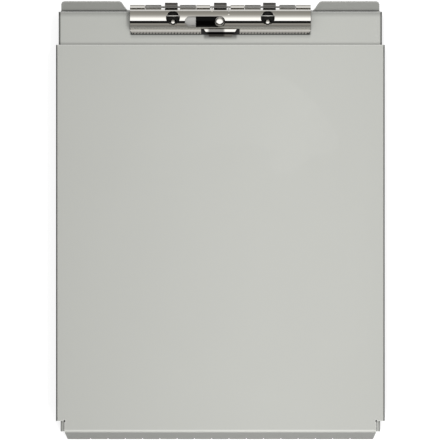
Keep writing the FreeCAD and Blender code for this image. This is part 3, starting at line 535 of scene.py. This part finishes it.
def panel_place(x, s):
    """Folded across and along, with a slight sag that fades out at all four sides.

    The sag is uneven by the ripple 0.7 + 0.3 sin(x / 31 + 1) sin(s / 37).
    """
    sag = (np.clip(1 - (x / SAG_HALF) ** 2, 0, 1) * np.clip((s - SAG_START) / SAG_FADE, 0, 1)
           * np.clip((notch_s - SAG_END - s) / SAG_FADE, 0, 1))
    ripple = 0.7 + 0.3 * np.sin(x / 31 + 1) * np.sin(s / 37)
    y, height = follow(along, s)
    folded_x, rise = follow(across, x + half_width)
    return folded_x, y, height + rise - PANEL_TOP - SAG * sag * ripple


panel_cuts = [
    lambda x, s: np.maximum(TONGUE_HALF - np.abs(x), notch_s - s),
    lambda x, s: np.hypot(np.abs(x) - TONGUE_HALF, s - notch_s) - RELIEF,
    lambda x, s: np.maximum(TONGUE_HALF - (TONGUE_HALF - BARREL_HALF)
                            * np.clip((s - fold_start) / (curl_start - fold_start), 0, 1)
                            - np.abs(x), notch_s - s),
    lambda x, s: np.maximum(from_knuckle(x) - (KNUCKLE_PITCH + KNUCKLE_GAP) / 2, knuckle_cut - s),
]
writing_panel = sheet_piece(
    "panel_sheet",
    both_ways(*knuckle_marks((KNUCKLE_PITCH + KNUCKLE_GAP) / 2, 3.4), (BARREL_HALF, 0.6),
              (TONGUE_HALF, 0.5), (flat_half, 0.24), (flat_half + bend_length, 1.2),
              (half_width, 1)),
    ruled((0, 0.6), (3, 5), (notch_s - 3, 0.5), (notch_s + 2, 1.5), (fold_start, 0.2),
          (fold_end, 2.2), (knuckle_cut, 0.5), (curl_start, 0.33), (along[0][-1], 1)),
    panel_cuts, panel_place, SHEET)


# %% [markdown]
# ## The header plate
# A shorter and slightly narrower sheet carries the clip. Its lower end lies lapped under the
# panel, which is why the panel's top edge is a thin line right across the cover.

# %% Header plate
HEADER_TOP = 14.5
HEADER_HALF = 118.7
HEADER_END = 153.05
HEADER_LOW = 117.5
RIVET_X = 34.8
RIVET_Y = 144.8
RIVET_HOLE = 1.62

header_across = folded([(-HEADER_HALF, FLANGE_LOW), (-HEADER_HALF, HEADER_TOP),
                        (HEADER_HALF, HEADER_TOP), (HEADER_HALF, FLANGE_LOW)], OUTER_BEND)
header_half_width = header_across[0][-1] / 2


def header_place(x, s):
    folded_x, height = follow(header_across, x + header_half_width)
    return folded_x, HEADER_END - s, height


header_plate = sheet_piece(
    "header_sheet",
    both_ways((0, 2.5), (RIVET_X - 3, 0.4), (RIVET_X + 3, 4),
              (HEADER_HALF - OUTER_BEND, 0.24), (HEADER_HALF - OUTER_BEND + bend_length, 1.2),
              (header_half_width, 1)),
    ruled((0, 0.5), (3, 1.2), (HEADER_END - RIVET_Y - 3, 0.4), (HEADER_END - RIVET_Y + 3, 1.4),
          (HEADER_END - HEADER_LOW, 1)),
    [lambda x, s: np.hypot(np.abs(x) - RIVET_X, s - (HEADER_END - RIVET_Y)) - RIVET_HOLE],
    header_place, SHEET)


# %% [markdown]
# ## The tray pan
# The back plate turns up into two side walls with small inward lips. At its lower end a narrower
# tongue of the floor curls up into eight knuckles, which the hinge wire runs through.

# %% Tray pan
TRAY_HALF = 117.3
TRAY_HEIGHT = 13.3
TRAY_LIP = 2.4
TRAY_END = 153.4
TRAY_LOW = -155.1
FLOOR_LOW = -157.05
TRAY_CURL = 250

tray_across = folded([(TRAY_LIP - TRAY_HALF, TRAY_HEIGHT), (-TRAY_HALF, TRAY_HEIGHT),
                      (-TRAY_HALF, 0), (TRAY_HALF, 0), (TRAY_HALF, TRAY_HEIGHT),
                      (TRAY_HALF - TRAY_LIP, TRAY_HEIGHT)], OUTER_BEND)
tray_along = trace((TRAY_END, 0), 180, [run(TRAY_END - HINGE[0]), arc(KNUCKLE, -TRAY_CURL)])
tray_half_width = tray_across[0][-1] / 2
floor_half = TRAY_HALF - OUTER_BEND
wall_length = TRAY_HEIGHT - 2 * OUTER_BEND
tray_low_s, floor_low_s = TRAY_END - TRAY_LOW, TRAY_END - FLOOR_LOW


def tray_place(x, s):
    folded_x, height = follow(tray_across, x + tray_half_width)
    y, curl = follow(tray_along, s)
    return folded_x, y, height + curl


tray_cuts = [
    lambda x, s: np.maximum(TONGUE_HALF - (TONGUE_HALF - BARREL_HALF)
                            * np.clip((s - tray_low_s) / (floor_low_s - tray_low_s), 0, 1)
                            - np.abs(x), tray_low_s - s),
    lambda x, s: np.maximum((KNUCKLE_PITCH - KNUCKLE_GAP) / 2 - from_knuckle(x), floor_low_s - s),
]
tray_pan = sheet_piece(
    "tray_sheet",
    both_ways(*knuckle_marks((KNUCKLE_PITCH - KNUCKLE_GAP) / 2, 3.4), (BARREL_HALF, 0.6),
              (TONGUE_HALF, 0.7), (floor_half, 0.3), (floor_half + bend_length, 1.3),
              (floor_half + bend_length + wall_length, 0.3),
              (floor_half + 2 * bend_length + wall_length, 0.3), (tray_half_width, 1)),
    ruled((0, 0.6), (2.4, 5), (tray_low_s - 2, 0.5), (floor_low_s, 0.5),
          (TRAY_END - HINGE[0], 0.33), (tray_along[0][-1], 1)),
    tray_cuts, tray_place, SHEET, outside="left")


# %% [markdown]
# ## The latch wall
# The tray's springy end wall is a sheet of its own here, since it flexes. Only its two corners
# reach up and flare outward: they are the tabs that a thumb pulls.

# %% Latch wall
LATCH_HALF = 116.8
LATCH_IN = 153.5
BOX_HALF = 160.9
FLARE_START = 12.4
FLARE_RISE = math.radians(38)
MIDDLE_TOP = 11.36
FLARE_INNER, FLARE_INNER_TIP = 68.3, 73.4
FLARE_OUTER_CORNER, FLARE_INNER_CORNER = 3, 1.6

flare_tip_y = BOX_HALF - SHEET * math.sin(FLARE_RISE)
flare_tip_z = FLARE_START + (flare_tip_y - LATCH_IN) * math.tan(FLARE_RISE)
latch_along = folded([(LATCH_IN, 0), (LATCH_IN, FLARE_START), (flare_tip_y, flare_tip_z)],
                     OUTER_BEND)
latch_length = latch_along[0][-1]


def latch_place(x, s):
    return x, *follow(latch_along, s)


def flare_inner_edge(s):
    share = (follow(latch_along, s)[0] - LATCH_IN) / (BOX_HALF - LATCH_IN)
    return FLARE_INNER + (FLARE_INNER_TIP - FLARE_INNER) * share


def round_corner(over, beyond, radius):
    """Negative outside a corner's rounding, from the distances past its centre, both ways."""
    return np.where((over > 0) & (beyond > 0), radius - np.hypot(over, beyond), radius)


latch_cuts = [
    lambda x, s: np.maximum(np.abs(x) - flare_inner_edge(s), MIDDLE_TOP - s),
    lambda x, s: round_corner(np.abs(x) - LATCH_HALF + FLARE_OUTER_CORNER,
                              s - latch_length + FLARE_OUTER_CORNER, FLARE_OUTER_CORNER),
    lambda x, s: round_corner(flare_inner_edge(s) + FLARE_INNER_CORNER - np.abs(x),
                              s - latch_length + FLARE_INNER_CORNER, FLARE_INNER_CORNER),
]
latch_wall = sheet_piece(
    "latch_sheet",
    both_ways((0, 4), (FLARE_INNER - 0.5, 0.4), (FLARE_INNER_TIP + 2.5, 2.5),
              (LATCH_HALF - 3.4, 0.4), (LATCH_HALF, 1)),
    ruled((0, 0.5), (1.5, 2), (MIDDLE_TOP - 0.5, 0.3), (14, 0.6), (latch_length - 3.2, 0.4),
          (latch_length, 1)),
    latch_cuts, latch_place, SHEET, outside="left")


# %% [markdown]
# ## The latch hooks
# Three strips of dark spring steel. Each rises flat on the wall, steps outward under the clip's
# barrel, rises again outside the pin and comes back over it, sloping down.

# %% Latch hooks
HOOK_SHEET = 0.8
HOOK_HALF = 4.7
HOOK_FOOT = 4
HOOK_LEDGE = 12.9
HOOK_RISE = 18.65
HOOK_OUT = 159.7
HOOK_TIP = (155.8, 18.05)
HOOK_X = {"latch_hook_left": -36, "latch_hook_middle": 0, "latch_hook_right": 36}
HOOK_BENDS = [0.3, 1.9, 1.9]
HOOK_TIP_CORNER, HOOK_FOOT_CORNER = 0.9, 1.2
HOOK_FACE = LATCH_IN + SHEET + HOOK_SHEET

hook_along = folded([(HOOK_FACE, HOOK_FOOT), (HOOK_FACE, HOOK_LEDGE), (HOOK_OUT, HOOK_LEDGE),
                     (HOOK_OUT, HOOK_RISE), HOOK_TIP], HOOK_BENDS)
hook_length = hook_along[0][-1]


def make_hook(name, middle):
    def place(x, s):
        return x + middle, *follow(hook_along, s)

    corners = [lambda x, s: round_corner(np.abs(x) - HOOK_HALF + HOOK_TIP_CORNER,
                                         s - hook_length + HOOK_TIP_CORNER, HOOK_TIP_CORNER),
               lambda x, s: round_corner(np.abs(x) - HOOK_HALF + HOOK_FOOT_CORNER,
                                         HOOK_FOOT_CORNER - s, HOOK_FOOT_CORNER)]
    return sheet_piece(name, np.linspace(-HOOK_HALF, HOOK_HALF, 33),
                       ruled((0, 0.3), (hook_length, 1)), corners, place, HOOK_SHEET, bevel=0.1)


hooks = {node: make_hook(f"{node}_strip", middle) for node, middle in HOOK_X.items()}


# %% [markdown]
# ## The clip's jaw
# A chromed steel sheet of 0.75 mm. Its toothed lip flares up a little, so that paper slides in
# under it. Then comes a tight bend that bites, the arch, and behind it a curl about the pin that
# goes the other way round. The lift tab leaves the arch in the middle through a reverse bend. It
# has a path of its own over the same blank, cut free by a slot at each side.

# %% Clip jaw
CLIP_SHEET = 0.75
CLIP_HALF = 66.3
PIN = (156.5, 16.1)
PIN_BORE = 0.85
ARCH_RADIUS = 8.0
ARCH_REAR = 79.6
LIP_BEND, LIP_RISE, LIP_LENGTH = 0.5, 15, 2.55
LIP_CORNER = 2
BITE_GAP = 0.05
PIN_CURL = 279.6
TOOTH_PITCH, TOOTH_DEPTH, TOOTH_HALF, TOOTH_POINT = 2.3, 1.66, 0.55, 0.6
FIRST_TOOTH = 15.5
TEETH = 22
TAB_ROOT, TAB_TIP, TAB_SLOT = 12.2, 8.2, 14.2
TAB_LEAVES, TAB_BEND, TAB_RADIUS, TAB_TURN = 65.7, 0.5, 9.3, 34.4
WINDOW_LEFT, WINDOW_ROUND, WINDOW_HALF = -26.0, -0.4, 4
WINDOW_FORWARD, WINDOW_CHAMFER = 2.2, 2.3
ROOM_START, ROOM_END, ROOM_TURN = 17.6, 55.4, 10
BAY_MIDDLE, BAY_HALF, CENTRE_BAY_HALF, BAY_TURN = 36.5, 6.9, 7.5, 17
ACCESS_RADIUS, ACCESS_BACK = 5.1, 0.65
EDGE_SLACK = 0.02
SLOT_STEP = 0.05

rear, rise = math.radians(ARCH_REAR), math.radians(LIP_RISE)
arch_y = PIN[0] - (ARCH_RADIUS + PIN_BORE) * math.sin(rear)
arch_z = PIN[1] - (ARCH_RADIUS + PIN_BORE) * math.cos(rear)
bite = HEADER_TOP + BITE_GAP + LIP_BEND + CLIP_SHEET
front = math.acos((bite - arch_z) / (ARCH_RADIUS + LIP_BEND))
arch_front = math.degrees(front)
bend_y = arch_y - (ARCH_RADIUS + LIP_BEND) * math.sin(front)
lip_edge = (bend_y - LIP_BEND * math.sin(rise) - LIP_LENGTH * math.cos(rise),
            bite - LIP_BEND * math.cos(rise) + LIP_LENGTH * math.sin(rise))
jaw_along = trace(lip_edge, -LIP_RISE, [run(LIP_LENGTH), arc(LIP_BEND, arch_front + LIP_RISE),
                                        arc(ARCH_RADIUS, -ARCH_REAR - arch_front),
                                        arc(PIN_BORE, PIN_CURL)])
bend_end = LIP_LENGTH + arc(LIP_BEND, arch_front + LIP_RISE)[0]
arch_end = bend_end + arc(ARCH_RADIUS, ARCH_REAR + arch_front)[0]
room_s = arch_end - arc(ARCH_RADIUS, ROOM_TURN)[0]
bay_s = arch_end - arc(ARCH_RADIUS, BAY_TURN)[0]
tab_s0 = bend_end + arc(ARCH_RADIUS, arch_front - TAB_LEAVES)[0]
leaves = math.radians(TAB_LEAVES)
tab_root = (arch_y - ARCH_RADIUS * math.sin(leaves), arch_z + ARCH_RADIUS * math.cos(leaves))
tab_back = trace(tab_root, 180 + TAB_LEAVES, [arc(TAB_BEND, -TAB_LEAVES),
                                              arc(TAB_RADIUS, TAB_TURN)])
tab_along = (tab_s0 * (1 - tab_back[0][::-1] / tab_back[0][-1]), tab_back[1][::-1],
             tab_back[2][::-1])
slot_s = tab_s0 - SLOT_STEP


def jaw_y(s):
    return follow(jaw_along, s)[0]


def jaw_place(x, s):
    """The lip and arch, or the tab's own path in front of the arch between its slots."""
    in_tab = (np.abs(x) < (TAB_ROOT + TAB_SLOT) / 2) & (s < tab_s0)
    return x, *np.where(in_tab, follow(tab_along, s), follow(jaw_along, s))


def window(x, s):
    """The lock's window seen from above: chamfered at its left end, round at its right end."""
    forth = np.abs(jaw_y(s) - (arch_y - WINDOW_FORWARD))
    chamfer = (forth - x + WINDOW_LEFT - (WINDOW_HALF - WINDOW_CHAMFER)) / math.sqrt(2)
    slot = np.maximum.reduce([WINDOW_LEFT - x, x - WINDOW_ROUND, forth - WINDOW_HALF, chamfer])
    return np.minimum(slot, np.hypot(x - WINDOW_ROUND, forth) - WINDOW_HALF)


def teeth(x, s):
    """Slanted notches in the lip, all leaning the same way."""
    side = np.where(x < 0, -FIRST_TOOTH - (TEETH - 1) * TOOTH_PITCH, FIRST_TOOTH)
    order = np.clip(np.round((x - side) / TOOTH_PITCH), 0, TEETH - 1)
    over = x - side - order * TOOTH_PITCH
    share = s / TOOTH_DEPTH
    left = -TOOTH_HALF + (TOOTH_POINT + TOOTH_HALF) * share
    right = TOOTH_HALF + (TOOTH_POINT - TOOTH_HALF) * share
    return np.maximum.reduce([left - over, over - right, s - TOOTH_DEPTH])


def tab_slots(x, s):
    half = TAB_TIP + (TAB_ROOT - TAB_TIP) * np.clip(s / slot_s, 0, 1)
    return np.maximum.reduce([half - np.abs(x), np.abs(x) - TAB_SLOT, s - slot_s])


jaw_cuts = [
    lambda x, s: np.maximum.reduce([ROOM_START - np.abs(x), np.abs(x) - ROOM_END, room_s - s]),
    lambda x, s: np.maximum(np.abs(np.abs(x) - BAY_MIDDLE) - BAY_HALF, bay_s - s),
    lambda x, s: np.maximum(np.abs(x) - CENTRE_BAY_HALF, bay_s - s),
    lambda x, s: (CLIP_HALF - LIP_CORNER * np.clip(1 - s / LIP_LENGTH, 0, 1) - np.abs(x)
                  + EDGE_SLACK),
    lambda x, s: np.hypot(np.abs(x) - RIVET_X, jaw_y(s) - arch_y - ACCESS_BACK) - ACCESS_RADIUS,
    tab_slots, teeth, window,
]
clip_jaw = sheet_piece(
    "chromed_jaw",
    both_ways((0, 0.36), (CENTRE_BAY_HALF, 0.36), (TAB_ROOT, 0.3), (TAB_SLOT, 0.34),
              (FIRST_TOOTH, TOOTH_PITCH / 7), (FIRST_TOOTH + (TEETH - 1) * TOOTH_PITCH, 0.33),
              (CLIP_HALF, 1)),
    ruled((0, 0.3), (LIP_LENGTH, 0.11), (bend_end, 0.36), (tab_s0 - 0.6, 0.11),
          (slot_s, SLOT_STEP), (tab_s0, 0.42), (bay_s, 0.3), (room_s, 0.3), (arch_end, 0.19),
          (jaw_along[0][-1], 1)),
    jaw_cuts, jaw_place, CLIP_SHEET, outside="left", bevel=0.09)


# %% [markdown]
# ## The lock bar and its knob
# The bar is a blackened strip bent to the inside of the arch. The knob is turned: a short skirt
# that sits on the curved bar and a dome above it. The same turning makes the two rivets that
# hold the clip, which show through the round holes.

# %% Lock bar, knob and clip rivets
BAR_GAP, BAR_SHEET, BAR_CORNER = 0.15, 0.8, 1
BAR_LEFT, BAR_RIGHT = -17.9, 10.1
BAR_REAR, BAR_TURN = 26, 83.5
BAR_RADIUS = ARCH_RADIUS - CLIP_SHEET - BAR_GAP
KNOB = (-0.5, arch_y - WINDOW_FORWARD)
KNOB_SKIRT = ([0, 3.45, 3.7, 3.75, 3.75], [20.6, 20.6, 20.65, 20.9, 21.4])
KNOB_FLAT, KNOB_DOME, KNOB_RISE, KNOB_FULLNESS = 1.05, 2.7, 2.6, 0.85
KNOB_TOP = ([0.5, 0], [24.07, 24.09])
RIVET_STEM = ([0, 2.1, 2.4, 2.4, 1.6, 1.6, 2.7, 2.85],
              [12.9, 12.9, 13.2, 13.6, 13.6, 15.25, 15.25, 15.4])
RIVET_DOME, RIVET_RISE = 2.85, 1.75

bar_rear = math.radians(BAR_REAR)
bar_start = (arch_y + BAR_RADIUS * math.sin(bar_rear), arch_z + BAR_RADIUS * math.cos(bar_rear))
bar_along = trace(bar_start, 180 - BAR_REAR, [arc(BAR_RADIUS, BAR_TURN)])


def bar_place(x, s):
    return x, *follow(bar_along, s)


def bar_corners(x, s):
    over = np.abs(x - (BAR_LEFT + BAR_RIGHT) / 2) - (BAR_RIGHT - BAR_LEFT) / 2 + BAR_CORNER
    beyond = np.abs(s - bar_along[0][-1] / 2) - bar_along[0][-1] / 2 + BAR_CORNER
    return round_corner(over, beyond, BAR_CORNER)


lock_bar = sheet_piece("painted_bar", np.linspace(BAR_LEFT, BAR_RIGHT, 85),
                       ruled((0, 0.33), (bar_along[0][-1], 1)), [bar_corners], bar_place,
                       BAR_SHEET, bevel=0.1)


def on_bar(x, y):
    """Height of the bar's outer face under a point."""
    return arch_z + np.sqrt(BAR_RADIUS ** 2 - (y - arch_y) ** 2)


swing = np.linspace(0, np.pi / 2, 22)[1:]
knob_radii = np.concatenate([KNOB_SKIRT[0], KNOB_FLAT + KNOB_DOME * np.cos(swing) ** KNOB_FULLNESS,
                             KNOB_TOP[0]])
knob_heights = np.concatenate([KNOB_SKIRT[1], KNOB_SKIRT[1][-1] + KNOB_RISE * np.sin(swing),
                               KNOB_TOP[1]])
lock_knob = turned("domed_knob", KNOB, knob_radii, knob_heights, foot=on_bar)

swing = np.linspace(0, 1, 16)[1:] * np.pi / 2
rivet_radii = np.concatenate([RIVET_STEM[0], RIVET_DOME * np.cos(swing)])
rivet_heights = np.concatenate([RIVET_STEM[1], RIVET_STEM[1][-1] + RIVET_RISE * np.sin(swing)])
rivets = {node: turned(f"{node}_dome", (x, RIVET_Y), rivet_radii, rivet_heights)
          for node, x in (("clip_rivet_left", -RIVET_X), ("clip_rivet_right", RIVET_X))}


# %% [markdown]
# Every new piece takes the place of the node it was made for and moves with that node's body.

# %% Places in the model
stand_ins = {"writing_panel": writing_panel, "header_plate": header_plate, "tray_pan": tray_pan,
             "latch_wall": latch_wall, "clip_jaw": clip_jaw, "lock_bar": lock_bar,
             "lock_knob": lock_knob, **hooks, **rivets}
body_of = {node: body for body, members in frame["record"]["behaviour"]["bodies"].items()
           for node in members}
for node, piece in stand_ins.items():
    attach(piece, body_of[node])
    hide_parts(node)
print("pieces made:", len(stand_ins), "nodes shown as packed:", len(nodes) - len(stand_ins))


# %% [markdown]
# ## The finishes
# Every metal here is one recipe with different numbers. A stretched noise is the grain that a
# brush or a die leaves, and it drives colour, roughness and a very shallow bump together. A broad
# noise adds the smudges of handling. On the sheets, the distance to the nearest edge of the blank
# says where corners are worn bright. The grain follows the blank's own lengths where a piece has
# them, so it bends with the metal.

# %% Metal recipe
CLOUD_SIZES = (38, 55, 38)
WEAR_SIZES = (1.3, 1.3, 1.3)
BAND_INSIDE, BAND_OUTSIDE, RIM_FADE = 1, 1.2, 0.8
WORN_SHINE = 0.3


def metal(name, colour, roughness, metallic=1.0, grain=(0.4, 40.0), tone=0.03, spread=0.05,
          depth=0.002, smudge=0.05, worn=None, reach=0.6, bands=(), rim=None, blank=True):
    """A metal from its grain size across and along in mm, and how much the grain changes it.

    colour = base (1 + tone g + 0.4 smudge c), roughness = r + spread g + smudge c, with g the
    grain and c the smudges, both from -1 to 1. worn is the colour of edges within reach mm.
    Each band is (start, end, before, after, middle, half): along the piece the colour's share
    goes from before to after, within half mm of middle across. rim is (start, share): from
    start mm off the middle line outward the share falls.
    """
    material = bpy.data.materials.new(name)
    add, join, number, ranged = new_tree(material)
    if blank:
        source = add("ShaderNodeAttribute", attribute_name="blank").outputs["Vector"]
    else:
        source = add("ShaderNodeTexCoord").outputs["Object"]

    def noise(sizes, detail):
        """Noise from -1 to 1 with its lengths in mm."""
        stretch = add("ShaderNodeVectorMath", operation="MULTIPLY")
        stretch.inputs[1].default_value = [1 / (size * MM) for size in sizes]
        join(source, stretch.inputs[0])
        texture = add("ShaderNodeTexNoise", Scale=1.0, Detail=detail, Roughness=0.55)
        join(stretch.outputs[0], texture.inputs["Vector"])
        return number("MULTIPLY_ADD", texture.outputs["Fac"], 2.0, -1.0)

    fine = noise((grain[0], grain[1], grain[0]), 3.0)
    clouds = noise(CLOUD_SIZES, 3.0)
    level = number("ADD", number("MULTIPLY_ADD", fine, tone, 1.0),
                   number("MULTIPLY", clouds, smudge * 0.4))
    sides = add("ShaderNodeSeparateXYZ")
    join(source, sides.inputs[0])

    def ramped(value, low, high, before, after):
        """before up to low mm, after from high mm on, a smooth step between them."""
        return ranged(value, low * MM, high * MM, before, after, "SMOOTHSTEP")

    # Bands and the rim paint shade and highlight into the colour in the finishes below.
    for start, end, before, after, middle, half in bands:
        share = ramped(sides.outputs["Y"], start, end, before, after)
        off = number("ABSOLUTE", number("SUBTRACT", sides.outputs["X"], middle * MM))
        within = ramped(off, half - BAND_INSIDE, half + BAND_OUTSIDE, 1, 0)
        level = number("MULTIPLY", level,
                       number("MULTIPLY_ADD", number("SUBTRACT", share, 1.0), within, 1.0))
    if rim:
        off = number("ABSOLUTE", sides.outputs["X"])
        level = number("MULTIPLY", level, ramped(off, rim[0], rim[0] + RIM_FADE, 1, rim[1]))
    tint = add("ShaderNodeVectorMath", operation="SCALE")
    tint.inputs[0].default_value = colour
    join(level, tint.inputs["Scale"])
    shine = number("ADD", number("MULTIPLY_ADD", fine, spread, roughness),
                   number("MULTIPLY", clouds, smudge))
    colour_socket = tint.outputs[0]
    if worn:
        edge = add("ShaderNodeAttribute", attribute_name="edge").outputs["Fac"]
        close = number("MULTIPLY_ADD", edge, -1 / (reach * MM), 1.0, clamp=True)
        patchy = number("MULTIPLY_ADD", noise(WEAR_SIZES, 2.0), 0.9, 0.75, clamp=True)
        wear = number("MULTIPLY", close, patchy)
        blend = add("ShaderNodeMix", data_type="RGBA")
        join(wear, blend.inputs["Factor"])
        join(colour_socket, blend.inputs["A"])
        blend.inputs["B"].default_value = (*worn, 1)
        colour_socket = blend.outputs["Result"]
        shine = number("MULTIPLY_ADD", wear, -WORN_SHINE * roughness, shine)
    bump = add("ShaderNodeBump", Strength=1.0, Distance=depth * MM)
    join(fine, bump.inputs["Height"])
    shader = add("ShaderNodeBsdfPrincipled", Metallic=metallic)
    join(colour_socket, shader.inputs["Base Color"])
    join(number("MAXIMUM", shine, 0.02), shader.inputs["Roughness"])
    join(bump.outputs["Normal"], shader.inputs["Normal"])
    output = add("ShaderNodeOutputMaterial")
    join(shader.outputs[0], output.inputs["Surface"])
    return material


# %% [markdown]
# The aluminium is brushed along its length and clear coated, so it is half mirror and half
# white. Bands along the blank and a rim across it paint shade and highlight into its colour:
# painted shadow next to the lap, under and in front of the clip's lip and tab and at the top
# end, a painted highlight along the fold at the bottom, and painted shade on the wall below it
# and on the side bends. Under the jaw the clip's base is painted near black as shade. The lift
# tab and the toothed lip of the chrome carry painted shade too. Chrome is slightly warm and
# nearly smooth. The bar is blackened steel, a little brighter at its edges.

# %% Finishes
ALUMINIUM = (0.367, 0.371, 0.349)
WIDE = (0, 200)
CHROME = (0.74, 0.725, 0.69)
aluminium = dict(roughness=0.42, metallic=0.45, grain=(0.45, 60), tone=0.012, spread=0.03,
                 depth=0.0012, smudge=0.03, worn=(0.56, 0.56, 0.54), reach=0.5)
finishes = {
    # Painted highlight along the bottom fold, painted shade on the sloped wall below it and on the
    # side bends.
    "panel": metal("brushed_aluminium", ALUMINIUM, **aluminium,
                   bands=[(282.2, 283.6, 1, 1.5, *WIDE), (284.2, 285.2, 1, 0.5, *WIDE)],
                   rim=(119.4, 0.25)),
    # Painted shadow beside the panel's top edge, at the top end and under and in front of the
    # clip's lip and tab; painted shade on the side bends.
    "header": metal("brushed_aluminium_lap", tuple(0.975 * c for c in ALUMINIUM), **aluminium,
                    bands=[(21.8, 23.9, 1, 0.72, *WIDE), (0.5, 4.5, 0.68, 1, *WIDE),
                           (16.5, 17.5, 0.02, 0.8, 0, 66), (17.5, 20.5, 1, 1.25, 0, 66),
                           (17.5, 21.5, 0.4, 1, 0, 12)], rim=(116.9, 0.45)),
    "tray": metal("brushed_aluminium_tray", tuple(0.86 * c for c in ALUMINIUM), **aluminium),
    # Painted shade on the lift tab and along the toothed lip of the chrome.
    "chrome": metal("bright_chrome", CHROME, 0.05, grain=(0.8, 9), tone=0.01, spread=0.012,
                    depth=0.0002, smudge=0.01, worn=(0.66, 0.645, 0.61), reach=0.25,
                    bands=[(5.2, 5.5, 0.3, 1, -3, 5.8), (0.6, 2.0, 0.5, 1, *WIDE)]),
    "dome": metal("bright_chrome_dome", CHROME, 0.07, grain=(1.5, 1.5), tone=0.02, spread=0.02,
                  depth=0.0003, smudge=0.02, blank=False),
    "hook": metal("dark_spring_steel", (0.13, 0.125, 0.118), 0.33, grain=(0.3, 6), tone=0.12,
                  spread=0.06, smudge=0.06, worn=(0.34, 0.33, 0.32), reach=0.45),
    "black": metal("black_oxide", (0.006, 0.006, 0.006), 0.36, grain=(0.5, 0.5), tone=0.3,
                   spread=0.08, depth=0.004, worn=(0.06, 0.058, 0.055), reach=0.3),
    # Painted shade: the clip base is near black where it lies under the jaw.
    "satin": metal("satin_steel", (0.36, 0.355, 0.34), 0.42, grain=(8, 0.4), tone=0.06,
                   spread=0.06, smudge=0.08, blank=False,
                   bands=[(153.5, 155, 0.05, 1, *WIDE)]),
    "guide": metal("matt_zinc", (0.32, 0.318, 0.305), 0.5, metallic=0.35, grain=(8, 0.4),
                   tone=0.08, spread=0.06, smudge=0.08, blank=False),
    "rivet": metal("rivet_aluminium", (0.5, 0.5, 0.48), 0.38, grain=(0.5, 0.5), tone=0.06,
                   spread=0.06, blank=False),
    "wire": metal("spring_wire", (0.86, 0.85, 0.82), 0.16, grain=(6, 0.5), tone=0.05,
                  spread=0.05, depth=0.001, blank=False),
    "pin": metal("pin_steel", (0.52, 0.51, 0.49), 0.26, grain=(9, 0.4), tone=0.06, spread=0.05,
                 depth=0.001, blank=False),
}
looks = {
    "panel": [writing_panel], "header": [header_plate], "tray": [tray_pan, latch_wall],
    "chrome": [clip_jaw], "dome": [lock_knob, *rivets.values()], "hook": list(hooks.values()),
    "black": [lock_bar], "satin": [nodes["clip_base"]], "guide": [nodes["lock_guide"]],
    "rivet": [nodes["latch_rivets"]],
    "wire": [nodes["clip_spring_left"], nodes["clip_spring_right"]],
    "pin": [nodes["clip_pin"], nodes["cover_hinge_pin"]],
}
for look, pieces in looks.items():
    for piece in pieces:
        piece.data.materials.clear()
        piece.data.materials.append(finishes[look])
for node, piece in nodes.items():
    if not piece.hide_render:
        print("as packed:", node, "with", piece.data.materials[0].name)
